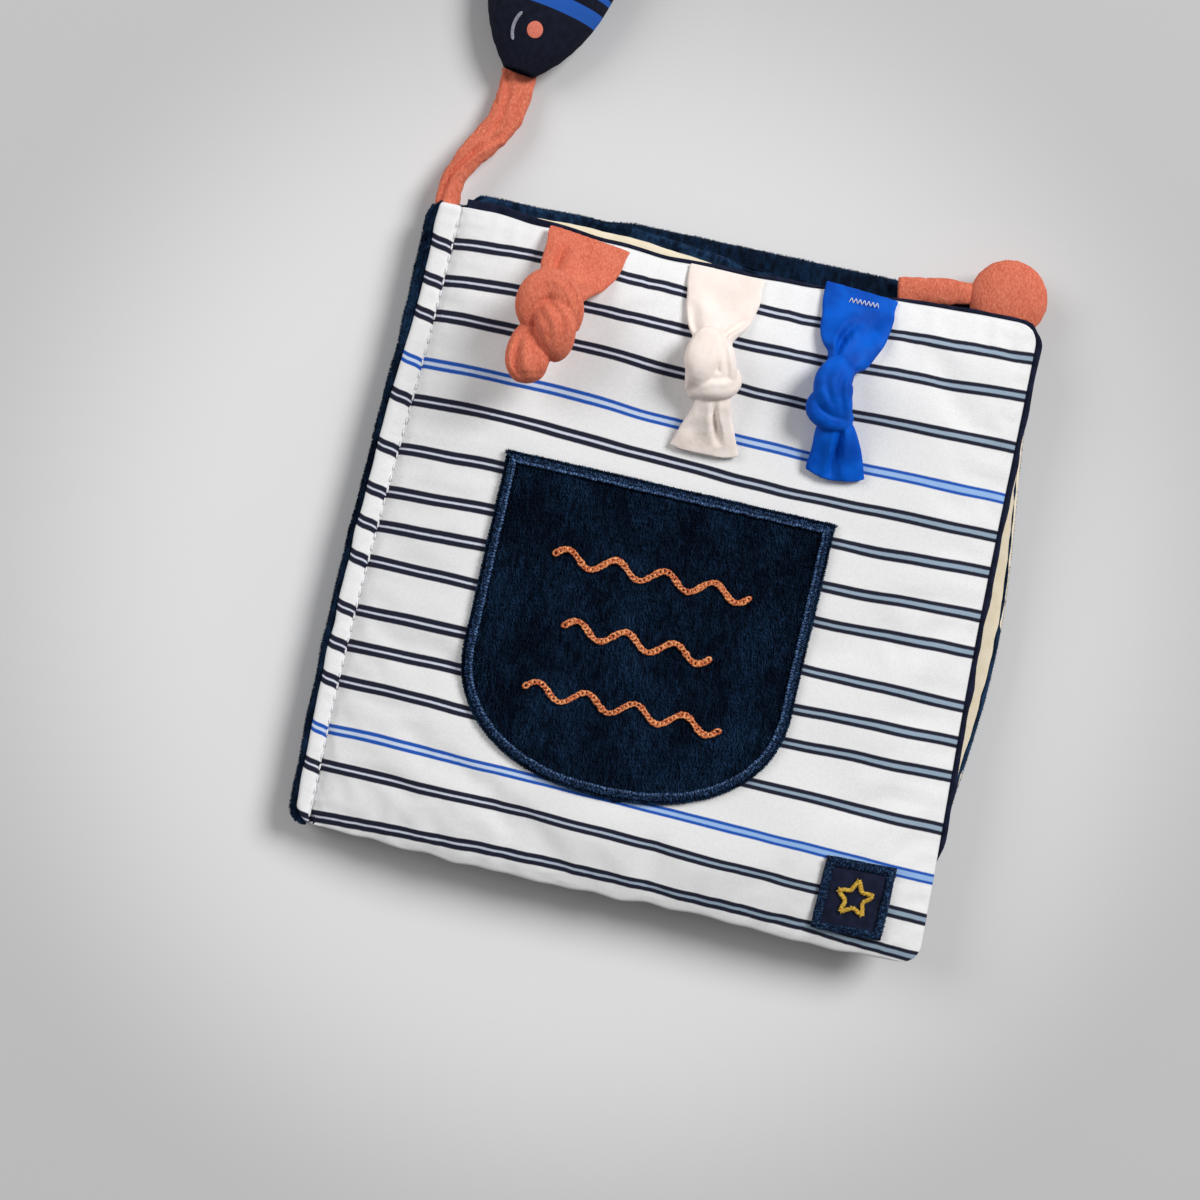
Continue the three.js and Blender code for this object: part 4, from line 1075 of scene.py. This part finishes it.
def makeLabel():
    def place(u, v):
        x, y = label['x'] + mix(-1, 1, u) * label['halfWide'], label['y'] + mix(-1, 1, v) * label['halfTall']
        return x, y, frontTop(x, y) + 1.0
    square = gridMesh(24, 24, place, lambda u, v: (2 * label['halfWide'] * u, 2 * label['halfTall'] * v))
    cloth = finishPiece(square, 'label_square', 'front_cover', navyKnit, ['label_patch'])
    addCloth(cloth, 0.7)
    wide, tall = label['halfWide'] - label['band'] / 2 + 0.2, label['halfTall'] - label['band'] / 2 + 0.2
    corners = [(-wide, -tall), (wide, -tall), (wide, tall), (-wide, tall)]
    frameRoute = []
    for index, (fromX, fromY) in enumerate(corners):
        toX, toY = corners[(index + 1) % 4]
        frameRoute += [(label['x'] + mix(fromX, toX, step / 8), label['y'] + mix(fromY, toY, step / 8), 0)
                       for step in range(8)]
    satinBand('label_edging', 'front_cover', Route(frameRoute, True), label['band'] / 2,
              lambda x, y: frontTop(x, y) + 1.0, 0.42, navyThread, ['label_border'], 61)
    star = []
    for index in range(10):
        angle, reach = math.pi / 2 + math.pi * index / 5, label['radius'] * (0.5 if index % 2 else 1)
        star.append(Vector((label['x'] + reach * math.cos(angle), label['y'] + reach * math.sin(angle), 0)))
    route = Route([point.lerp(star[(index + 1) % 10], part) for index, point in enumerate(star)
                   for part in (0, 0.35, 0.65)], True, 4)
    satinBand('satin_star', 'front_cover', route, 0.72, lambda x, y: frontTop(x, y) + 1.1, 0.36, yellowThread,
              ['label_star'], 62)


makeLabel()
print('label ready')


def sweep(route, columns, rows, section, flatSize=None):
    # A closed tube along a route; section gives its offsets from shares round and along and the route's row
    frames = []
    for row in range(rows + 1):
        share = row / rows
        heading = route.heading(share, 0.01)
        side = upwards.cross(heading).normalized()
        frames.append((route.at(share), side, heading.cross(side), heading))

    def place(u, v):
        sample, side, lift, heading = frames[round(v * rows)]
        across, raised, ahead = (*section(u, v, sample), 0)[:3]
        return Vector(sample[:3]) + side * across + lift * raised + heading * ahead
    wide, tall = flatSize or (40, route.length)
    return gridMesh(columns, rows, place, lambda u, v: (wide * u, tall * v), True)


# Knotted ribbons, each from its strands. Rows: place in plan, lift, half width, half thickness
# Valleys: across at the start and end, depth, width as a share, from and to along the strand
ribbons = {
    'coral': {'lift': 8, 'finish': coralMuslin, 'slot': 'coral_muslin', 'headX': -42.6, 'strands': [
        {'rows': [(-42.2, 89.4, 0.4, 12.0, 0.7), (-42.8, 85, 0.7, 11.5, 0.9), (-44.3, 80, 1.3, 10.4, 1.4),
                  (-45.8, 75.5, 2.2, 8.6, 2.1), (-46.6, 71.5, 2.9, 6.4, 2.7), (-47.2, 67.5, 3.3, 4.8, 2.8),
                  (-47.5, 63.5, 3.6, 3, 2.2)],
         'valleys': [(-0.5, -0.5, 2.4, 0.12, 0.16, 0.66), (0.35, 0.2, 0.9, 0.3, 0.3, 0.8)]},
        {'rows': [(-43.4, 61.5, 4.0, 3.2, 2.8), (-43.6, 66.0, 6.9, 3.9, 3.4), (-46.4, 70.4, 8.8, 4.5, 3.8),
                  (-50.8, 71.8, 9.4, 4.7, 4.0), (-54.0, 69.0, 8.8, 4.4, 3.9), (-54.6, 64.4, 7.2, 3.9, 3.6),
                  (-52.6, 60.6, 5.0, 3.0, 3.0)], 'valleys': [(-0.5, -0.35, 0.7, 0.14, 0.12, 0.6)]},
        {'rows': [(-51.8, 66.8, 5.0, 2.8, 2.6), (-49.6, 64.9, 7.2, 4.4, 3.6), (-46.9, 61.8, 8.3, 5.5, 4.2),
                  (-45.6, 57.8, 7.6, 5.0, 4.0), (-45.2, 54.6, 5.8, 3.6, 3.3), (-45.4, 52.4, 4.2, 1.4, 1.6)],
         'valleys': [(0.35, 0.2, 0.8, 0.16, 0.1, 0.8), (-0.45, -0.3, 0.5, 0.16, 0.2, 0.7)]},
        {'rows': [(-49.5, 61, 3.6, 3.2, 2.6), (-52.2, 57.6, 4.8, 4.7, 3.6), (-52.7, 53.8, 5.6, 5.8, 4.5),
                  (-52.2, 50.4, 5.8, 6.1, 4.8), (-51.4, 47.4, 5.6, 5.1, 4.4), (-50.8, 45.5, 5.4, 3.4, 3.2),
                  (-50.5, 44.6, 5.4, 0.8, 0.8)],
         'valleys': [(-0.45, -0.5, 1.6, 0.16, 0.35, 0.98), (0.4, 0.3, 0.6, 0.2, 0.4, 0.9)]}]},
    'cream': {'lift': 0, 'finish': creamSatin, 'slot': 'cream_satin', 'headX': -2.2, 'strands': [
        {'rows': [(-2.2, 88.3, 0.4, 11.1, 0.7), (-2.3, 83, 0.7, 10.7, 0.9), (-2.6, 77, 1.1, 9.8, 1.3),
                  (-3.0, 71.5, 1.9, 7.9, 2.0), (-2.5, 67.6, 2.8, 5.6, 2.6), (-1.2, 64, 3.4, 4.0, 2.8),
                  (-0.6, 60, 3.4, 3, 2.2)],
         'valleys': [(-0.82, -0.7, 1.3, 0.2, 0.4, 0.78), (0.8, 0.3, 1.5, 0.13, 0.42, 0.86),
                     (-0.25, -0.1, 0.6, 0.25, 0.1, 0.5)]},
        {'rows': [(-2.6, 69.2, 4.2, 3.0, 2.2), (-4.8, 66.2, 6.7, 4.2, 3.0), (-5.4, 61.9, 8.3, 4.9, 3.5),
                  (-5.2, 58, 8.3, 4.3, 3.2), (-6.0, 54.9, 6.4, 2.8, 2.5), (-6.6, 53.2, 4.6, 1.4, 1.6)],
         'valleys': [(0.5, 0.4, 0.5, 0.2, 0.2, 0.8)]},
        {'rows': [(-1.4, 67.4, 4.6, 2.6, 2.4), (0.2, 64.4, 6.4, 3.2, 2.8), (1.4, 61, 7.1, 3.2, 2.8),
                  (2.3, 57.6, 6.6, 3.0, 2.7), (2.4, 54, 4.6, 2.4, 2.2)],
         'valleys': [(0.1, 0.1, 0.5, 0.2, 0.2, 0.9)]},
        {'rows': [(-6.6, 52.4, 3.8, 2.6, 2.0), (-4.4, 53.8, 5.9, 3.8, 2.8), (-0.8, 55.0, 7.4, 4.4, 3.2),
                  (2.4, 56.0, 6.7, 4.1, 3.0), (4.0, 57.8, 4.8, 3.2, 2.4), (3.6, 60.4, 3.4, 2, 1.8)],
         'valleys': [(0.3, 0.3, 0.7, 0.16, 0.2, 0.9)]},
        {'rows': [(0.2, 56, 3.0, 3.4, 2.2), (0.6, 51.6, 4.8, 4.6, 2.9), (0.5, 47.4, 3.9, 5.8, 2.5),
                  (0.7, 43.4, 2.6, 7.6, 1.7), (0.9, 40, 1.7, 8.9, 1.1), (1.0, 37.2, 1.2, 9.8, 0.7)],
         'valleys': [(0.05, 0.36, 2.3, 0.11, 0.28, 0.84), (-0.5, -0.6, 0.6, 0.2, 0.3, 0.8)], 'cut': (1.8, 0.01)}]},
    'blue': {'lift': 0, 'finish': blueSatin, 'slot': 'blue_satin', 'headX': 36.2, 'strands': [
        {'rows': [(36.2, 91.0, 0.4, 10.7, 0.7), (35.9, 86.5, 0.7, 10.5, 0.9), (35.7, 81.5, 1.1, 10.0, 1.3),
                  (35.2, 76, 1.9, 9.0, 2.1), (34.8, 71.6, 2.9, 6.9, 2.8), (33.9, 68.4, 3.4, 4.8, 3.0),
                  (33.2, 64, 3.4, 3.2, 2.4)],
         'valleys': [(0.0, -0.6, 2.6, 0.11, 0.36, 0.86), (0.5, 0.4, 0.9, 0.3, 0.2, 0.6)]},
        {'rows': [(34.2, 68.8, 3.6, 3.4, 2.4), (32.8, 66.2, 6.8, 4.6, 3.2), (31.7, 62.6, 8.2, 5.5, 3.7),
                  (32.6, 58.8, 8.2, 5.4, 3.6), (34.2, 55.8, 7.4, 4.6, 3.2), (35.6, 53, 5.4, 3.6, 2.4)],
         'valleys': [(0.35, 0.2, 0.9, 0.15, 0.15, 0.85), (-0.5, -0.1, 0.7, 0.14, 0.3, 0.8)]},
        {'rows': [(31.4, 58.8, 4.6, 2.4, 2.2), (29.0, 57.2, 6.3, 2.8, 2.6), (28.9, 54.4, 6.9, 3.1, 2.8),
                  (31.8, 53, 7.3, 3.5, 2.8), (35.2, 52.9, 6.6, 3.4, 2.5), (37.4, 53.6, 4.4, 2.6, 2.0),
                  (37.6, 55.4, 3.2, 2, 1.6)], 'valleys': [(0.3, 0.2, 0.7, 0.16, 0.2, 0.8)]},
        {'rows': [(34.5, 54.5, 2.8, 3.4, 2.0), (35.3, 50.6, 4.1, 5.4, 2.9), (36.4, 46.6, 3.4, 6.6, 2.5),
                  (37.6, 42, 2.0, 7.8, 1.5), (38.4, 38.4, 1.3, 8.4, 0.8)],
         'valleys': [(0.25, -0.2, 2.4, 0.13, 0.16, 0.96), (-0.6, -0.65, 0.6, 0.2, 0.4, 1)], 'cut': (2.2, 1.6)}]}}


def creaseShape(off, shoulder):  # a valley with a low rise on either side
    return math.exp(-off * off) - shoulder * math.exp(-(abs(off) - 2) ** 2)


def makeStrand(facts, strand, seed):
    headY = edges['front']['head'](facts['headX'])
    rows = []
    for x, y, raised, wide, thick in strand['rows']:
        free = smooth((headY - y - 6) / 18) * facts['lift']
        rows.append((x, y, frontTop(clamp(x, -82, 88), min(y, headY - 0.4)) + 0.35 + raised + free, wide, thick))
    route = Route(rows)
    total = route.length

    def section(u, v, sample):
        wide, thick = sample[3], sample[4]
        angle = math.tau * u
        across, raised = math.cos(angle), math.sin(angle)
        flatness = smooth((wide - 5.2) / 4) * smooth((2.4 - thick) / 1.4)
        slack = 1 + 0.05 * roundRipple(angle, v * total, 6, seed, 1.4)
        x = wide * signed(across, 0.92) * slack
        z = thick * signed(raised, mix(0.85, 0.4, flatness)) * slack
        side = 1 if raised > 0 else 0.4
        for start, end, depth, width, low, high in strand.get('valleys', ()):
            share = (v - low) / (high - low)
            if 0 < share < 1:
                off = (across - mix(start, end, share)) / width
                z -= depth * math.sin(math.pi * share) ** 0.7 * creaseShape(off, 0.35) * side
        gather = 0.1 * math.sin(across * 7 + seed + 2 * v) * smooth((6.5 - wide) / 3) * (raised > 0)
        z += flatness * 0.3 * ripple(x, v * total, 7, seed + 1) * smooth(v * 12) + gather
        bulge, slope = strand.get('cut', (0, 0))
        ahead = smooth((v - 0.6) / 0.4) * (bulge * (1 - across * across) + slope * across) if strand.get('cut') else 0
        return x, z, ahead
    mesh = sweep(route, 48, max(40, int(total * 2.4)), section, (math.tau * rows[0][3] * 0.7, total))
    soften(mesh, 0.4)
    return mesh


def makeRibbon(name):
    facts = ribbons[name]
    parts = [makeStrand(facts, strand, 71 + index) for index, strand in enumerate(facts['strands'])]
    finishPiece(melted(joined(parts), 0.3, 2), name + '_knotted_ribbon', name, facts['finish'],
                [name + '_ribbon'])


for ribbonName in ribbons:
    makeRibbon(ribbonName)


# White bar tack that holds the blue ribbon
tack = {'x': 36.9, 'y': 87.5, 'width': 8.6, 'half': 0.75, 'strokes': 14, 'thick': 0.13, 'restX': 35.9, 'lift': 2.5}


def makeTack():
    points = [(tack['x'] + tack['width'] * (step / tack['strokes'] - 0.5),
               tack['y'] + tack['half'] * (1 if step % 2 else -1), 0) for step in range(tack['strokes'] + 1)]
    stroke = strokeForm()
    places = []
    for before, after in zip(points, points[1:]):
        middle = (Vector(before) + Vector(after)) / 2
        along = Vector(after) - Vector(before)
        places.append(frameAt((middle.x, middle.y, frontTop(tack['restX'], middle.y) + tack['lift']),
                              along, upwards, (along.length * 0.5 * mm, tack['thick'] * mm, tack['thick'] * mm)))
    finishPiece(manyOf(stroke, places), 'ribbon_bar_tack', 'blue', whiteThread, ['blue_ribbon_tack'])


makeTack()
print('ribbons ready')

# Strap: a twisted tube of crinkled muslin from the spine's head to the fish's mouth
strap = {'pivot': (-84.5, 99), 'mouth': (-72.3, 133.5), 'rootZ': 7.65, 'endZ': 3.9, 'rootHalf': 3.5, 'mouthHalf': 5.0,
         'rootThick': 2.7, 'mouthThick': 1.9,
         'shares': [(-0.02, -0.3), (0, 0), (0.12, 0.11), (0.32, 0.26), (0.62, 0.42), (0.86, 0.58), (0.96, 0.74),
                    (1, 0.87), (1, 1.03)],
         'creases': [(0.7, -0.5, 1.5, 0.02, 0.62), (-0.15, 0.55, 1.1, 0.36, 1.0), (-0.6, -0.3, 0.8, 0.5, 0.95)]}


def makeStrap():
    rows = [(mix(strap['pivot'][0], strap['mouth'][0], side), mix(strap['pivot'][1], strap['mouth'][1], along),
             mix(strap['rootZ'], strap['endZ'], smooth(along))) for side, along in strap['shares']]
    route = Route(rows)

    def section(u, v, sample):
        angle = math.tau * u
        ends = math.sqrt(clamp(v / 0.03, 0.02, 1))
        across, raised = math.cos(angle), math.sin(angle)
        crinkle = (1 + 0.07 * roundRipple(angle, v * 60, 2.6, 81, 1.8)
                   + 0.05 * roundRipple(angle + 5 * v, v * 60, 5, 82))
        grown = smooth((v - 0.1) / 0.8)
        wide = mix(strap['rootHalf'], strap['mouthHalf'], grown) * (1 - 0.08 * bell((v - 0.1) / 0.4))
        z = mix(strap['rootThick'], strap['mouthThick'], grown) * signed(raised, 0.75)
        z *= 1 - 0.6 * smooth((v - 0.9) / 0.08)
        for start, end, depth, low, high in strap['creases']:
            share = (v - low) / (high - low)
            if 0 < share < 1 and raised > 0:
                off = (across - mix(start, end, share)) / 0.17
                z -= depth * math.sin(math.pi * share) ** 0.6 * creaseShape(off, 0.4)
        return wide * across * crinkle * ends, max(z * crinkle * ends, -3.6)
    piece = finishPiece(sweep(route, 40, 130, section, (30, 46)), 'twisted_strap', None, coralMuslin,
                        ['fish_strap'])
    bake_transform(piece)
    rolledEdge('strap_root', lambda y: -85.5, lambda y: -81.2, 6.4, 8.9, 79, 93.4, coralMuslin,
               ['strap_anchor'])


makeStrap()
print('strap ready')

# Fish: two panels sewn round a filling, with a flat padded tail
fish = {'mouth': (-72.3, 133.5), 'turn': math.radians(8), 'length': 76, 'half': 19.5, 'thickness': 17, 'seamZ': 7.14,
        'rows': [(0, 0.24), (0.04, 0.38), (0.1, 0.56), (0.18, 0.73), (0.28, 0.87), (0.4, 0.96), (0.52, 1),
                 (0.64, 0.95), (0.76, 0.82), (0.87, 0.62), (0.95, 0.45), (1, 0.36)],
        'tail': 21, 'tailHalf': 15, 'notch': 5, 'tailThick': 3.6,
        'bands': ((18.6, 22.8), (26, 27.6), (44, 48.5), (52, 53.6)),
        'eye': (11.5, 0.8), 'eyeRadius': 2.3, 'gill': (11, 1.6), 'gillRadius': 7}


def fishPlace(along, across):
    sine, cosine = math.sin(fish['turn']), math.cos(fish['turn'])
    return fish['mouth'][0] + along * sine + across * cosine, fish['mouth'][1] + along * cosine - across * sine


fishOutline = Route([(share * fish['length'], half * fish['half'], 0) for share, half in fish['rows']])


def fishHalfAt(along):
    low, high = 0.0, 1.0
    for _ in range(16):
        middle = (low + high) / 2
        low, high = (middle, high) if fishOutline.at(middle).x < along else (low, middle)
    return fishOutline.at(low).y


fishHalves = [fishHalfAt(step * fish['length'] / 200) for step in range(201)]


def fishHeights(along, across):
    step = clamp(along / fish['length']) * 200
    index = min(199, int(step))
    half = mix(fishHalves[index], fishHalves[index + 1], step - index)
    width = min(16, half)
    share = half / fish['half'] * crown(half - abs(across), width)
    gather = 0.5 * math.exp(-max(0, half - abs(across)) / 4) * ripple(along, 0, 2.6, 91)
    soft = 0.35 * ripple(along, across, 14, 92) * clamp((half - abs(across)) / 6)
    return (max(0, mix(fish['seamZ'], -0.5, share) - gather),
            mix(fish['seamZ'], fish['thickness'], share) + gather + soft)


def makeFishCloth():  # navy cotton with printed blue bands that run round the body
    finish = Finish('fishCotton', 0.82, **{'Specular IOR Level': 0.15})
    along = finish.flat.part(1) / mm
    colour = finish.flat.cloud(500, 3).fade(0.3, 0.7).between(srgb(14, 17, 31), srgb(22, 26, 44))
    for start, end in fish['bands']:
        band = (abs(along - (start + end) / 2) - (end - start) / 2).fade(0.12, -0.12)
        colour = band.between(colour, srgb(38, 92, 182))
    finish.set('Base Color', colour)
    weave(finish, 0.6, 0.05)
    return finish


def makeFish():
    fishCotton = makeFishCloth()

    def side(isTop):
        def place(u, v):
            along = mix(0, fish['length'], v)
            across = mix(-1, 1, (1 - math.cos(math.pi * u)) / 2) * fishHalfAtGrid(v)
            low, high = fishHeights(along, across)
            return (*fishPlace(along, across), high if isTop else low)
        mesh = gridMesh(56, 90, place, lambda u, v: (mix(-1, 1, u) * fish['half'], fish['length'] * v))
        if not isTop:
            bmesh.ops.reverse_faces(mesh, faces=mesh.faces)
        return mesh

    def fishHalfAtGrid(v):
        return fishHalves[int(round(v * 200))]
    for name, isTop, node in (('fish_top', True, 'fish_top_panel'), ('fish_underside', False, 'fish_under_panel')):
        softPiece(side(isTop), name, 'fish', fishCotton, node, 0.6)

    def filling(u, v):
        along = mix(4, fish['length'] - 4, v)
        half = fishHalves[int(round(along / fish['length'] * 200))] - 3
        angle = math.tau * u
        across = half * math.cos(angle)
        low, high = fishHeights(along, across)
        middle, reach = (low + high) / 2, max(0.3, (high - low) / 2 - 1.8)
        ends = math.sqrt(1 - (2 * v - 1) ** 16) + 0.02
        return (*fishPlace(along, across * ends), middle + reach * math.sin(angle) * ends)
    stuffing = finishPiece(gridMesh(24, 40, filling, None, True), 'fish_filling', 'fish', wadding,
                           ['fish_stuffing'])

    def tailFin(u, v):
        angle = math.tau * u
        shareAcross = signed(math.cos(angle), 0.8)
        along = fish['length'] - 1.2 + (fish['tail'] + 1.5) * v - fish['notch'] * (1 - abs(shareAcross)) * v
        half = mix(fishHalves[200] - 0.2, fish['tailHalf'], v ** 0.8)
        fold = 1 - 0.35 * (1 - abs(math.cos(4 * shareAcross))) ** 2 * (1 - v)
        thick = (fish['tailThick'] / 2 + 0.5) * fold * math.sqrt(clamp((1 - v) / 0.08, 0.05, 1))
        raised = signed(math.sin(angle), 0.6)
        return (*fishPlace(along, shareAcross * half), fish['seamZ'] + thick * raised)
    tail = finishPiece(gridMesh(48, 36, tailFin, lambda u, v: (30 * u, 90 + 21 * v), True), 'fish_fin', 'fish',
                       fishCotton, ['fish_tail'])


makeFish()


def makeFishPrint():  # a round printed eye and a printed gill line, thin on the cloth
    eye = bmesh.new()
    bmesh.ops.create_uvsphere(eye, u_segments=28, v_segments=12, radius=1)
    for vert in eye.verts:
        along, across = (fish['eye'][index] + vert.co[1 - index] * fish['eyeRadius'] for index in (0, 1))
        x, y = fishPlace(along, across)
        vert.co = Vector((x, y, fishHeights(along, across)[1] + 0.08 + 0.16 * vert.co.z)) * mm
    finishPiece(eye, 'eye_dot', 'fish', coralPrint, ['fish_eye'])
    points = []
    for step in range(13):
        angle = math.pi + math.radians(34) * mix(-1, 1, step / 12)
        points.append((fish['gill'][0] - fish['gillRadius'] * math.sin(angle),
                       fish['gill'][1] + fish['gillRadius'] * math.cos(angle)))
    rows = [(*fishPlace(*point), fishHeights(*point)[1] + 0.12) for point in points]
    taper = lambda v: math.sqrt(clamp(min(v, 1 - v) * 14, 0.1, 1))
    mesh = sweep(Route(rows), 10, 40, lambda u, v, sample: (0.5 * taper(v) * math.cos(math.tau * u),
                                                           0.16 * math.sin(math.tau * u)))
    finishPiece(mesh, 'gill_line', 'fish', greyPrint, ['fish_gill_line'])


coralPrint = makeThread('coralPrint', srgb(226, 120, 98), srgb(238, 136, 114), 0.8)
makeFishPrint()
print('fish ready')

# Coral tab and its round stuffed end, between the covers at the head corner
tab = {'start': (47.5, 95.2, 8.4), 'end': (67.5, 98.2, 10), 'pad': (79, 99, 10.2), 'radius': 11.3, 'thick': 4.2}


def makeTab():
    route = Route([tab['start'], (54, 96.2, 8.6), (61, 97.4, 9.4), tab['end'], (70, 98.5, 10.1)])

    def section(u, v, sample):
        angle = math.tau * u
        pinch = 1 - 0.25 * smooth((v - 0.5) * 2)
        crinkle = 1 + 0.1 * roundRipple(angle, v * 24, 2.4, 101, 1.6)
        bulge = math.sin(math.pi * clamp(0.12 + v * 0.9)) ** 0.5
        return (3.9 * pinch * crinkle * math.cos(angle),
                (0.8 + 1.1 * bulge) * crinkle * signed(math.sin(angle), 0.8))
    strapPiece = finishPiece(sweep(route, 32, 50, section, (20, 24)), 'coral_tab', 'binding', coralMuslin,
                             ['corner_tab_strap'])
    pad = bmesh.new()
    bmesh.ops.create_uvsphere(pad, u_segments=72, v_segments=36, radius=1)
    layer = pad.loops.layers.uv.new('UVMap')
    for vert in pad.verts:
        x, y, z = vert.co
        reach, turn = math.hypot(x, y), math.atan2(y, x)
        gather = 1 + 0.03 * ripple(turn * 6, 0, 0.7, 102) * reach ** 6
        rounded = reach ** 0.8 * gather * tab['radius'] / max(reach, 1e-6)
        fullness = 1 - 0.1 * abs(ripple(turn * 5, reach, 0.6, 103)) * reach ** 4
        vert.co = Vector((tab['pad'][0] + x * rounded, tab['pad'][1] + y * rounded,
                          tab['pad'][2] + z * tab['thick'] * fullness)) * mm
    for loop in loopsOf(pad):
        loop[layer].uv = loop.vert.co.xy
    stuffed = finishPiece(pad, 'coral_round', 'binding', coralMuslin, ['corner_tab_pad'])


makeTab()
print('tab ready')
